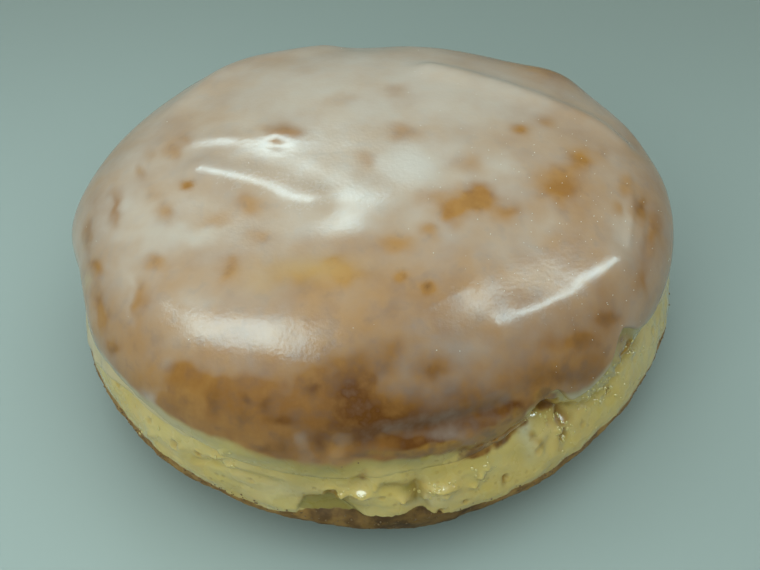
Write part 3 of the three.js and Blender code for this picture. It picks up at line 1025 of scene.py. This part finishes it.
def length_from_top(path):
    down_dome = np.clip(4 - path, 0, 1) * BAND_LENGTHS["dome"]
    down_lip = np.clip(3 - path, 0, 1) * BAND_LENGTHS["lip"]
    return down_dome + down_lip + np.clip(2 - path, 0, 1) * BAND_LENGTHS["collar"]


def glaze_rows():
    """Rows from the inner top to the outer top: share of the way to the hem, millimetres kept
    before the hem, columns, and whether the row is on the inner skin."""
    rows = [(share, 0.0, COLUMNS // coarseness, True) for share, coarseness in INNER_ROWS]
    rows += [(1.0, before, COLUMNS, False) for before in EDGE_STEPS]
    for start, end, count, coarseness in OUTER_BANDS:
        for share in np.linspace(start, end, count)[1:]:
            before = EDGE_STEPS[-1] * min(2 * share, 1)
            rows.append((share, before, COLUMNS // coarseness, False))
    return rows


def glaze_skin():
    """Path, angle, distance from the hem and side of every point, and the faces."""
    shares, before, counts, inner = zip(*glaze_rows())
    angle = np.concatenate([[0.0], *(ring_angles(count) for count in counts), [0.0]])
    share, away = (np.concatenate([[0.0], np.repeat(row, counts), [0.0]]) for row in (shares, before))
    is_inner = np.concatenate([[True], np.repeat(inner, counts), [False]])
    hem = length_from_top(path_at_height(angle, hem_height(angle)))
    length = np.clip(share * hem - away, 0, None)
    return path_from_top(length), angle, hem - length, is_inner, ring_faces(counts)


glaze_path, glaze_angle, from_hem, glaze_inner, glaze_faces = glaze_skin()

# %% Glaze: its thickness, in millimetres, and its gentle lumps
FILM = 0.32
# The film's edge is rounded over this much, and softer on the front, where it also thins out
EDGE_ROUND = 1.1
SOFT_EDGE = 2.0
THINS_OUT = 2.5
HEM_BEAD = 0.05
# How deep the film's edge lies in the dough, and how deep its inner skin
SUNK = 0.35
SHELL_DEPTH = 1.8
# Over the pale dough the film stays at least this proud, and on the dome it may dip this far
LEAST_FILM = 0.08
DEEPEST_DIP = 1.5

# How thick the film is below the lip, as a share, at angles round the bun
FILM_SHARE = [
    (0, 0.9), (180, 0.8), (215, 0.6), (235, 0.45), (250, 0.45), (294, 0.45), (303, 0.4), (312, 0.5),
    (360, 0.9),
]
# Creases where the film slid as it set, in the photo's pixels: points, half width, rise
FILM_CREASES = [
    ([(440, 68), (480, 81), (520, 92), (560, 106), (600, 125), (630, 141)], 3.2, 0.15),
    ([(530, 99), (560, 113), (590, 129)], 3.0, -0.12),
    ([(152, 131), (175, 113), (200, 97), (228, 84)], 3.0, -0.22),
    ([(160, 118), (190, 98), (222, 80)], 3.0, 0.20),
    ([(628, 172), (632, 205), (628, 245)], 4.0, 0.18),
    ([(645, 175), (650, 210), (647, 250)], 4.0, -0.15),
    ([(430, 60), (470, 67), (500, 77)], 4.0, -0.08),
    ([(192, 141), (222, 137), (250, 138)], 6.0, 0.14),
    ([(420, 312), (436, 302), (452, 294), (466, 288)], 5.0, 0.08),
    ([(522, 312), (545, 303), (568, 295)], 9.0, 0.10),
]
# Broad dents and swellings of the film, in the photo's pixels
FILM_DENTS = [
    (277, 145, 8, 3.5, -0.22), (334, 213, 36, 22, -0.25), (284, 216, 30, 20, 0.2),
    (285, 190, 22, 10, -0.16),
]


def crease_relief(points, outward):
    """Narrow ridges and grooves of the film on the side that the photo shows."""
    seen = np.stack(seen_at(points), 1)
    rise = np.zeros(len(points))
    for line, width, by in FILM_CREASES:
        rise += by * bell(distance_to_curve(seen, smooth_curve(line)) / width)
    return rise * marks(points, outward, [WHOLE_PICTURE])


# %% Glaze: its points
glaze_smooth, glaze_out = skin(glaze_path, glaze_angle)
covered = under_glaze(glaze_path, glaze_angle)
front = on_front(glaze_angle)
rounded_over = np.clip(from_hem / (EDGE_ROUND + SOFT_EDGE * front), 0, 1)
rounding = np.sqrt(np.clip(1 - (1 - rounded_over) ** 2, 0, 1))
film = FILM * (1 + 0.35 * cloud(glaze_smooth, 5, 11)) + HEM_BEAD * bell((from_hem - 1.2) / 0.9)
film *= np.interp(glaze_angle % 360, *zip(*FILM_SHARE))
film *= 1 - front * (1 - smoothstep(0.0, THINS_OUT, from_hem))
lumps = 0.10 * cloud(glaze_smooth, 9, 12) + 0.01 * cloud(glaze_smooth, 2.6, 13)
lumps += crease_relief(glaze_smooth, glaze_out) + marks(glaze_smooth, glaze_out, FILM_DENTS)
proud = film * (1 - covered) + lumps * smoothstep(1.0, 4.0, from_hem)
proud = np.maximum(proud, LEAST_FILM * smoothstep(1.5, 4.0, from_hem) - DEEPEST_DIP * covered)
room = GLAZE_ROOM * covered
outer_rise = (proud + SUNK + room) * rounding - SUNK - room
outer_rise += soft_lumps(glaze_smooth) * (1 - covered) + front_fill(glaze_path, glaze_angle)
inner_rise = -(room + SHELL_DEPTH)
glaze_rise = np.where(glaze_inner, inner_rise, outer_rise)
glaze_points = glaze_smooth + glaze_out * glaze_rise[:, None]

# %% Glaze: its blotches, in the photo's pixels
# Each is across, down, half width, half height, amount. Where milk is missing and the crust shows:
THIN_MARKS = [
    (230, 416, 90, 22, 0.26), (355, 405, 24, 20, 0.2), (183, 367, 14, 7, 0.15), (200, 386, 16, 9, 0.30),
    (213, 402, 8, 13, 0.35), (180, 409, 15, 8, 0.35), (245, 415, 14, 13, 0.30), (266, 405, 8, 11, 0.30),
    (282, 421, 16, 7, 0.35), (240, 440, 14, 8, 0.35), (268, 450, 18, 7, 0.40), (283, 442, 8, 9, 0.35),
    (300, 408, 12, 7, 0.20), (230, 400, 7, 14, 0.25), (280, 131, 16, 6, 0.45), (296, 135, 12, 8, 0.35),
    (274, 142, 8, 3, 0.35), (187, 184, 6, 5, 0.8), (148, 153, 6, 8, 0.45), (140, 170, 4, 9, 0.35),
    (170, 152, 9, 9, 0.4), (183, 138, 9, 9, 0.35), (115, 205, 5, 14, 0.45), (165, 214, 8, 10, 0.4),
    (152, 195, 9, 9, 0.2), (250, 205, 16, 9, 0.35), (207, 103, 14, 8, 0.35), (160, 122, 8, 4, 0.3),
    (275, 78, 24, 6, 0.3), (352, 56, 26, 5, 0.4), (366, 160, 10, 10, 0.35), (340, 100, 16, 8, 0.2),
    (83, 222, 6, 26, 0.5), (112, 168, 10, 10, 0.25), (262, 236, 12, 8, 0.3), (215, 222, 16, 8, 0.25),
    (397, 87, 12, 6, 0.45), (405, 131, 16, 8, 0.35), (520, 131, 9, 5, 0.6), (450, 204, 16, 12, 0.8),
    (478, 200, 16, 12, 0.9), (508, 213, 16, 8, 0.4), (560, 190, 26, 15, 0.5), (582, 161, 12, 9, 0.5),
    (557, 107, 10, 7, 0.45), (548, 120, 9, 6, 0.4), (566, 172, 16, 10, 0.25), (651, 170, 8, 14, 0.5),
    (640, 206, 8, 12, 0.4), (655, 230, 8, 16, 0.3), (430, 230, 10, 7, 0.45), (425, 196, 12, 8, 0.25),
    (560, 75, 14, 7, 1.0), (462, 81, 18, 7, 0.35), (462, 61, 30, 4, 0.35), (470, 162, 18, 8, 0.25),
    (604, 151, 8, 6, 0.3), (627, 185, 8, 9, 0.3), (617, 209, 6, 8, 0.35), (395, 245, 22, 8, 0.35),
    (333, 262, 8, 5, 0.3), (157, 263, 10, 9, 0.45), (230, 270, 10, 14, 0.4), (96, 268, 8, 8, 0.4),
    (100, 315, 7, 24, 0.4), (113, 346, 7, 6, 0.4), (140, 300, 9, 16, 0.35), (185, 372, 14, 8, 0.25),
    (200, 386, 12, 8, 0.3), (175, 403, 13, 11, 0.5), (213, 400, 8, 13, 0.5), (232, 435, 12, 10, 0.5),
    (262, 408, 12, 9, 0.4), (283, 420, 15, 8, 0.5), (270, 446, 20, 10, 0.6), (262, 386, 12, 8, 0.3),
    (310, 385, 16, 16, 0.3), (320, 440, 8, 14, 0.4), (356, 403, 18, 18, 1.0), (403, 276, 8, 7, 0.4),
    (428, 288, 6, 5, 0.6), (437, 366, 16, 12, 0.3), (395, 350, 18, 14, 0.2), (580, 341, 16, 8, 0.4),
    (607, 318, 13, 8, 0.4), (641, 280, 7, 16, 0.3), (548, 345, 10, 8, 0.2), (412, 445, 30, 6, 0.8),
    (383, 452, 14, 5, 0.5), (350, 275, 20, 8, 0.2), (365, 245, 46, 14, 0.10), (215, 405, 110, 34, 0.14),
    (350, 400, 60, 42, 0.10), (395, 300, 95, 42, 0.24), (500, 275, 60, 36, 0.20),
    (308, 272, 50, 20, 0.16), (90, 285, 14, 30, 0.2), (350, 365, 56, 16, 0.16),
    (120, 248, 22, 18, 0.15), (355, 408, 26, 20, 0.12), (310, 270, 56, 18, 0.10),
    (225, 412, 60, 16, 0.05), (365, 240, 40, 14, 0.08), (420, 215, 60, 12, 0.06),
    (215, 190, 60, 34, 0.16), (100, 200, 24, 30, 0.14), (300, 362, 60, 14, 0.12),
    (590, 370, 40, 16, 0.15), (130, 345, 30, 40, 0.15), (310, 270, 50, 15, 0.15),
    (395, 447, 40, 5, 0.3),
]
# Where the sugar is milkier than round about
CREAMY_MARKS = [
    (170, 345, 50, 20, 0.15), (185, 365, 50, 12, 0.08), (150, 394, 13, 12, 0.25),
    (172, 412, 9, 5, 0.15), (225, 368, 60, 12, 0.12), (290, 395, 12, 12, 0.15), (148, 401, 14, 10, 0.5),
    (197, 412, 7, 8, 0.10), (160, 362, 14, 16, 0.12), (430, 380, 70, 30, 0.12),
    (560, 330, 60, 50, 0.10), (340, 85, 26, 9, 0.2), (420, 175, 30, 14, 0.25), (410, 155, 26, 10, 0.2),
    (500, 165, 20, 10, 0.15), (115, 235, 14, 10, 0.1), (200, 235, 26, 9, 0.25), (120, 130, 16, 16, 0.2),
    (212, 430, 12, 5, 0.12), (295, 442, 10, 9, 0.14), (345, 441, 14, 9, 0.2), (405, 433, 44, 6, 0.14),
    (130, 300, 6, 26, 0.2), (195, 300, 30, 10, 0.15), (500, 250, 36, 18, 0.2), (540, 225, 26, 12, 0.2),
    (460, 440, 22, 6, 0.2), (620, 240, 14, 30, 0.15), (375, 390, 8, 10, 0.15), (470, 350, 30, 14, 0.1),
    (300, 365, 24, 8, 0.1),
]
# Painted shade: where the crust under the glaze is darkened over a wide stretch, on the lower front and
# under the dome's edge
PAINTED_SHADE_ON_CRUST = [
    (480, 422, 60, 18, 0.35), (340, 432, 30, 14, 0.25), (440, 446, 20, 5, 0.4),
    (425, 385, 105, 55, 0.55), (400, 430, 60, 16, 0.2), (480, 310, 90, 36, 0.26),
    (420, 345, 60, 30, 0.1), (345, 362, 52, 26, 0.42), (490, 240, 70, 30, 0.12),
    (560, 380, 40, 16, 0.2), (395, 428, 85, 20, 0.35),
]
# Where the crust is fried dark in small blotches, and painted shade along the crease above the lip's roll
# and under the dome's edge
FRIED_AND_SHADE_MARKS = [
    (425, 447, 26, 5, 0.4), (440, 446, 16, 6, 0.5), (245, 420, 10, 12, 0.2), (268, 450, 16, 5, 0.3),
    (283, 442, 7, 8, 0.25), (282, 421, 13, 5, 0.2), (355, 392, 9, 5, 0.3), (368, 424, 11, 7, 0.3),
    (266, 405, 6, 9, 0.15), (352, 396, 16, 12, 0.95), (348, 410, 14, 9, 0.7), (366, 418, 13, 12, 0.8),
    (213, 400, 6, 12, 0.35), (245, 399, 5, 6, 0.4), (178, 410, 9, 6, 0.15), (283, 419, 13, 6, 0.4),
    (264, 404, 7, 7, 0.3), (272, 450, 14, 5, 0.3), (315, 388, 9, 6, 0.4), (320, 442, 6, 10, 0.4),
    (187, 184, 4, 4, 0.6), (428, 287, 4, 4, 0.6), (582, 341, 9, 6, 0.4), (607, 318, 8, 5, 0.4),
    (560, 376, 40, 9, 0.3), (500, 411, 30, 5, 0.35), (225, 405, 90, 30, 0.15), (653, 172, 6, 12, 0.4),
    (84, 230, 6, 20, 0.3), (420, 424, 60, 4, 0.2), (520, 404, 26, 6, 0.4), (470, 395, 60, 12, 0.15),
    (470, 201, 9, 6, 0.2), (640, 205, 7, 12, 0.3), (113, 348, 6, 5, 0.3),
]
# Where fine sugar crystals blur the gloss
FROSTED_MARKS = [
    (250, 180, 60, 14, 1.0), (310, 200, 60, 32, 0.9), (545, 300, 75, 40, 1.0), (460, 305, 36, 30, 0.9),
]
# Where the crust is pale and golden
GOLDEN_MARKS = [(308, 268, 50, 15, 0.6), (262, 286, 22, 13, 0.3)]
# Where pale dough shows, with no brown under the glaze
BARE_DOUGH_MARKS = [(80, 238, 7, 11, 1.0), (86, 279, 6, 9, 0.8)]

# %% Glaze: how milky it is on the dome, and where the brown ends
# Bare brown bumps on the far edge: x, y, radius, how much milk is missing
BARE_BACK = [(31, 34, 6, 0.7), (22, 38, 10, 0.4), (42, 20, 8, 0.25)]


def milkiness(points):
    """How much milky sugar hides the crust, from 0, clear, to 1."""
    x, y, z = points.T
    milk = 0.09 + 0.26 * smoothstep(30, 39, z) + 0.34 * smoothstep(38, 45.5, z)
    milk += 0.36 * smoothstep(-15, -40, x) * smoothstep(-34, -12, y) * smoothstep(24, -6, y)
    milk += 0.32 * smoothstep(2, 30, y) + 0.20 * smoothstep(28, 42, x) + 0.12 * smoothstep(-30, -42, x)
    milk = np.minimum(milk, 0.88)
    for at, along, radius, by in BARE_BACK:
        milk -= by * bell(np.hypot(x - at, y - along) / radius)
    return milk


# The lower edge of the browned dome: angle, height, and over how many millimetres it fades
BROWN_EDGE = [
    (0, 22.6, 0.8), (150, 22.4, 0.8), (200, 22.2, 0.8), (209, 23.4, 0.6), (220, 23.8, 0.6),
    (235, 23.6, 0.9), (241, 24.0, 1.0), (247, 22.8, 0.9), (255, 22.0, 1.0), (262, 22.2, 1.1),
    (267, 23.2, 1.0), (274, 22.8, 0.7), (280, 23.0, 0.7), (284, 23.4, 0.7), (289, 22.2, 0.7),
    (293, 21.3, 0.6), (298, 22.6, 0.7), (301, 25.2, 0.9), (304, 24.8, 0.7), (310, 24.8, 0.8),
    (314, 22.6, 1.2), (320, 23.0, 1.0), (330, 25.6, 0.9), (342, 22.4, 0.9), (360, 22.6, 0.8),
]


def above_brown_edge(angle, height):
    at, middle, fade = zip(*BROWN_EDGE)
    return (height - np.interp(angle, at, middle)) / np.interp(angle, at, fade)


# %% Glaze: the values at its points
# Below the brown the film has this much milk, more on the right, and none on the wet front
FILM_MILK = 0.40
FILM_MILK_LOBES = [(325, 20, 0.2), (272, 28, -0.48)]
# On the front the film's finish turns into the dough's between these shares of the front
BARE_FROM, BARE_TO = 0.15, 0.7
# Glaze that ran down the lower left of the front drew the brown into upright streaks
STREAKS_AT, STREAKS_REACH = 244, 24
# Painted shade: how much darker the crust is made toward the lower edge of the dome
LOW_DOME_SHADE = 0.28


def on_glaze(places, stray=0.0):
    return marks(glaze_smooth, glaze_out, places, stray)


glaze_look = dough_values(glaze_smooth, glaze_out, glaze_path, glaze_angle)
glaze_height = glaze_smooth[:, 2]
crust_under = above_brown_edge(glaze_angle % 360, glaze_height + 0.5 * cloud(glaze_smooth, 3, 15))
crust_under = smoothstep(-1, 1, crust_under)
crust_under *= 1 - np.clip(on_glaze(BARE_DOUGH_MARKS, stray=3), 0, 1)

streaks = bell(turn_between(glaze_angle, STREAKS_AT) / STREAKS_REACH) * smoothstep(37, 32, glaze_height)
streaks *= cloud(glaze_smooth * (1, 1, 0.3), 2.2, 17)
dome_milk = milkiness(glaze_smooth) + 0.10 * streaks
dome_milk += 0.10 * cloud(glaze_smooth, 6, 14, 3) + 0.08 * cloud(glaze_smooth, 13, 18)
dome_milk += on_glaze(CREAMY_MARKS, stray=8) - on_glaze(THIN_MARKS, stray=8)
film_milk = FILM_MILK + lobes(glaze_angle, FILM_MILK_LOBES) + 0.10 * cloud(glaze_smooth, 4, 16)
dark = 0.8 * on_glaze(FRIED_AND_SHADE_MARKS, stray=5) * (1 + 0.4 * cloud(glaze_smooth, 1.6, 19))

milk = dome_milk * crust_under + film_milk * (1 - crust_under)
milk *= 1 - 0.8 * glaze_look["toast"]
milk *= np.where(glaze_path < 2.9, smoothstep(-0.2, 0.9, from_hem), 1)
milk = milk * (1 - 0.8 * np.clip(1.3 * dark, 0, 1)) - 0.12 * np.clip(dark, 0, 1)
# Painted shade over wide stretches, and darker toward the lower edge of the dome
dark += 0.9 * on_glaze(PAINTED_SHADE_ON_CRUST, stray=8) + LOW_DOME_SHADE * smoothstep(40, 31, glaze_height)

# Sugar crystals lie thickest on the right of the dome
SPARKLE_AT, SPARKLE_REACH = (27, -10), 17
sparkle = 0.03 + bell(np.hypot(*(glaze_smooth[:, :2] - SPARKLE_AT).T) / SPARKLE_REACH)
glaze_look.update({
    "crust": crust_under,
    "bare": smoothstep(BARE_FROM, BARE_TO, front) * (1 - crust_under),
    "milk": np.clip(milk, 0, 1),
    "dark": np.clip(dark, 0, 1),
    "golden": np.clip(on_glaze(GOLDEN_MARKS), 0, 1),
    "frosted": np.clip(on_glaze(FROSTED_MARKS), 0, 1),
    "sparkle": np.clip(sparkle, 0, 1) * (from_hem > 1.5) * ~glaze_inner,
})

# %% Glaze: its finish
GLOSS_COLOUR = colour(0.80, 0.95, 1.0)


def glaze_finish():
    finish = new_finish("sugar glaze")
    milk = finish.attribute("milk")
    dark = finish.attribute("dark")
    wide = finish.noise(0.006, detail=3.0, seed=1.0)
    broad = finish.noise(0.004, detail=4.0, roughness=0.6, seed=4.0, stretch=(1, 1, 0.6))
    fine = finish.noise(0.0012, detail=3.0, seed=5.0)
    grain = finish.noise(0.0003, detail=2.0, seed=6.0)
    moist_dough = dough_look(finish)

    crust = finish.mix(broad.ramp(0.38, 0.66), colour(0.46, 0.205, 0.052), colour(0.37, 0.150, 0.033))
    crust = finish.mix(fine.ramp(0.5, 0.75) * 0.5, crust, colour(0.25, 0.095, 0.018))
    crust = finish.mix(finish.attribute("golden"), crust, colour(0.56, 0.33, 0.12))
    # The dark value is fried blotches and painted shade together, drawn in one dark brown
    fried = (dark * (1 + (broad - 0.5) * 0.8 + (fine - 0.5) * 1.0)).clamped()
    crust = finish.mix(fried, crust, colour(0.13, 0.040, 0.004))
    under = finish.mix(finish.attribute("crust"), moist_dough["Base_Color"], crust)
    under = toasted_over(finish, under, wide, fine)

    cover = (milk + (broad - 0.5) * 0.2 + (fine - 0.5) * (dark * 0.3 + 0.12)).clamped()
    thick = finish.mix(wide, colour(0.565, 0.455, 0.362), colour(0.64, 0.52, 0.425))
    sugar = finish.mix(cover.ramp(0.2, 0.85), colour(0.46, 0.37, 0.305), thick)
    blurred = finish.attribute("frosted") * 0.07 + (fine - 0.5) * 0.1 + (grain - 0.5) * 0.12
    finish.set(
        Base_Color=finish.mix(cover, under, sugar),
        Roughness=(0.2 + blurred).clamped(),
        Normal=finish.bump(grain, 0.00005, 0.4, finish.bump(fine, 0.00012, 0.05)),
        Specular_IOR_Level=0.5,
        Specular_Tint=GLOSS_COLOUR,
    )
    finish.blend_with(finish.attribute("bare"), **moist_dough)
    return finish.made


glaze = make_piece("glaze", glaze_points, glaze_faces, glaze_finish(), glaze_look)

# %% [markdown]
# ## Specks, beads and crumbs
# Undissolved sugar glints on the dome, wet beads sit in the blistered collar, and crumbs cling to
# the browned edge. All three are small lumps strewn over a surface, thicker in some places than in
# others, so one Geometry Nodes tree makes them all. It reads how thick from a value at the points,
# turns each lump at random, roughens it, and joins the lot into one mesh.

# %% One tree that strews lumps over a surface
LUMP_INPUTS = {
    "Where": ("NodeSocketString", "sparkle"),
    "Density": ("NodeSocketFloat", 1e6),
    "Smallest": ("NodeSocketFloat", 0.0001),
    "Largest": ("NodeSocketFloat", 0.0002),
    "Flatness": ("NodeSocketFloat", 0.6),
    "Length": ("NodeSocketFloat", 1.0),
    "Proud": ("NodeSocketFloat", 0.0),
    "Roughness": ("NodeSocketFloat", 0.0),
    "Sides": ("NodeSocketInt", 1),
    "Seed": ("NodeSocketInt", 1),
    "Material": ("NodeSocketMaterial", None),
}


def strewing_tree():
    tree = bpy.data.node_groups.new("lumps strewn over a surface", "GeometryNodeTree")
    tree.interface.new_socket("Geometry", in_out="INPUT", socket_type="NodeSocketGeometry")
    tree.interface.new_socket("Geometry", in_out="OUTPUT", socket_type="NodeSocketGeometry")
    identifiers = {}
    for name, (kind, value) in LUMP_INPUTS.items():
        socket = tree.interface.new_socket(name, in_out="INPUT", socket_type=kind)
        if value is not None:
            socket.default_value = value
        identifiers[name] = socket.identifier

    def add(kind, settings, links):
        made = tree.nodes.new(kind)
        for key, value in settings.items():
            setattr(made, key, value)
        for key, value in links.items():
            if isinstance(value, bpy.types.NodeSocket):
                tree.links.new(value, made.inputs[key])
            else:
                made.inputs[key].default_value = value
        return made.outputs

    given = add("NodeGroupInput", {}, {})
    where = add("GeometryNodeInputNamedAttribute", {"data_type": "FLOAT"}, {"Name": given["Where"]})
    density = add("ShaderNodeMath", {"operation": "MULTIPLY"}, {
        0: given["Density"], 1: where["Attribute"],
    })
    points = add("GeometryNodeDistributePointsOnFaces", {}, {
        "Mesh": given["Geometry"], "Density": density[0], "Seed": given["Seed"],
    })
    lift = add("ShaderNodeVectorMath", {"operation": "SCALE"}, {
        0: points["Normal"], "Scale": given["Proud"],
    })
    placed = add("GeometryNodeSetPosition", {}, {"Geometry": points["Points"], "Offset": lift[0]})
    size = add("FunctionNodeRandomValue", {"data_type": "FLOAT"}, {
        2: given["Smallest"], 3: given["Largest"], "Seed": given["Seed"],
    })
    longer = add("ShaderNodeMath", {"operation": "MULTIPLY"}, {0: size[1], 1: given["Length"]})
    flatter = add("ShaderNodeMath", {"operation": "MULTIPLY"}, {0: size[1], 1: given["Flatness"]})
    scale = add("ShaderNodeCombineXYZ", {}, {"X": longer[0], "Y": size[1], "Z": flatter[0]})
    lump = add("GeometryNodeMeshIcoSphere", {}, {"Radius": 1.0, "Subdivisions": given["Sides"]})
    lumps = add("GeometryNodeInstanceOnPoints", {}, {
        "Points": placed["Geometry"], "Instance": lump["Mesh"],
        "Rotation": points["Rotation"], "Scale": scale[0],
    })
    spin = add("FunctionNodeRandomValue", {"data_type": "FLOAT"}, {2: 0.0, 3: 2 * math.pi, "Seed": 5})
    spins = add("ShaderNodeCombineXYZ", {}, {"Z": spin[1]})
    turned = add("GeometryNodeRotateInstances", {}, {
        "Instances": lumps["Instances"], "Rotation": spins[0],
    })
    real = add("GeometryNodeRealizeInstances", {}, {"Geometry": turned["Instances"]})
    dents = add("ShaderNodeTexNoise", {}, {"Scale": 2500.0})
    centred = add("ShaderNodeVectorMath", {"operation": "SUBTRACT"}, {
        0: dents["Color"], 1: (0.5, 0.5, 0.5),
    })
    push = add("ShaderNodeVectorMath", {"operation": "SCALE"}, {
        0: centred[0], "Scale": given["Roughness"],
    })
    rough = add("GeometryNodeSetPosition", {}, {"Geometry": real["Geometry"], "Offset": push[0]})
    smooth = add("GeometryNodeSetShadeSmooth", {}, {"Geometry": rough["Geometry"]})
    finished = add("GeometryNodeSetMaterial", {}, {
        "Geometry": smooth["Geometry"], "Material": given["Material"],
    })
    add("NodeGroupOutput", {}, {"Geometry": finished["Geometry"]})
    return tree, identifiers


strewing, strewing_sockets = strewing_tree()


def strew(name, surface, **settings):
    """A piece of lumps over a surface: the tree is evaluated once and its result kept as a mesh."""
    piece = bpy.data.objects.new(name, surface.data.copy())
    bpy.context.scene.collection.objects.link(piece)
    modifier = piece.modifiers.new("strew", "NODES")
    modifier.node_group = strewing
    for label, value in settings.items():
        modifier[strewing_sockets[label]] = value
    evaluated = piece.evaluated_get(bpy.context.evaluated_depsgraph_get())
    mesh = bpy.data.meshes.new_from_object(evaluated)
    piece.modifiers.clear()
    piece.data = mesh
    mesh.name = name
    print(name, len(mesh.vertices), "points,", len(mesh.polygons), "triangles")
    return piece


# %% Specks, beads and crumbs: their finishes
def speck_finish():
    finish = new_finish("sugar crystal")
    fine = finish.noise(0.0008, seed=7.0)
    finish.set(
        Base_Color=finish.mix(fine, colour(0.72, 0.66, 0.52), colour(0.86, 0.82, 0.70)),
        Roughness=0.15,
    )
    return finish.made


def bead_finish():
    finish = new_finish("wet bead")
    fine = finish.noise(0.001, seed=8.0)
    finish.set(
        Base_Color=finish.mix(fine, colour(0.50, 0.36, 0.10), colour(0.60, 0.45, 0.16)),
        Roughness=0.06,
        Coat_Weight=1.0,
        Coat_Roughness=0.03,
    )
    return finish.made


def crumb_finish():
    finish = new_finish("fried crumb")
    fine = finish.noise(0.0006, seed=9.0)
    finish.set(
        Base_Color=finish.mix(fine, colour(0.09, 0.05, 0.02), colour(0.24, 0.13, 0.045)),
        Roughness=0.7,
    )
    return finish.made


# %% Specks, beads and crumbs: strewn
specks = strew(
    "sugar_specks", glaze, Where="sparkle", Density=1.5e5, Smallest=0.00004, Largest=0.00009,
    Flatness=0.6, Proud=0.00003, Roughness=0.00005, Seed=3, Material=speck_finish(),
)
beads = strew(
    "wet_beads", dough, Where="blister", Density=2.0e6, Smallest=0.00010, Largest=0.00030,
    Flatness=0.4, Length=1.4, Proud=0.00002, Sides=2, Seed=4, Material=bead_finish(),
)
crumbs = strew(
    "crumbs", dough, Where="crumbly", Density=0.8e6, Smallest=0.00006, Largest=0.0002,
    Flatness=0.7, Proud=0.00005, Roughness=0.00018, Seed=5, Material=crumb_finish(),
)

# %% [markdown]
# ## Handing over to the frame
# The bun is one body, so every piece rides on it and all of them together stand for the one solid.

# %% Ride and replace
SLOTS = {"dough": [dough, beads, crumbs], "glaze": [glaze, specks]}
for slot, pieces in SLOTS.items():
    for piece in pieces:
        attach(piece, "root")
        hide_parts("doughnut")
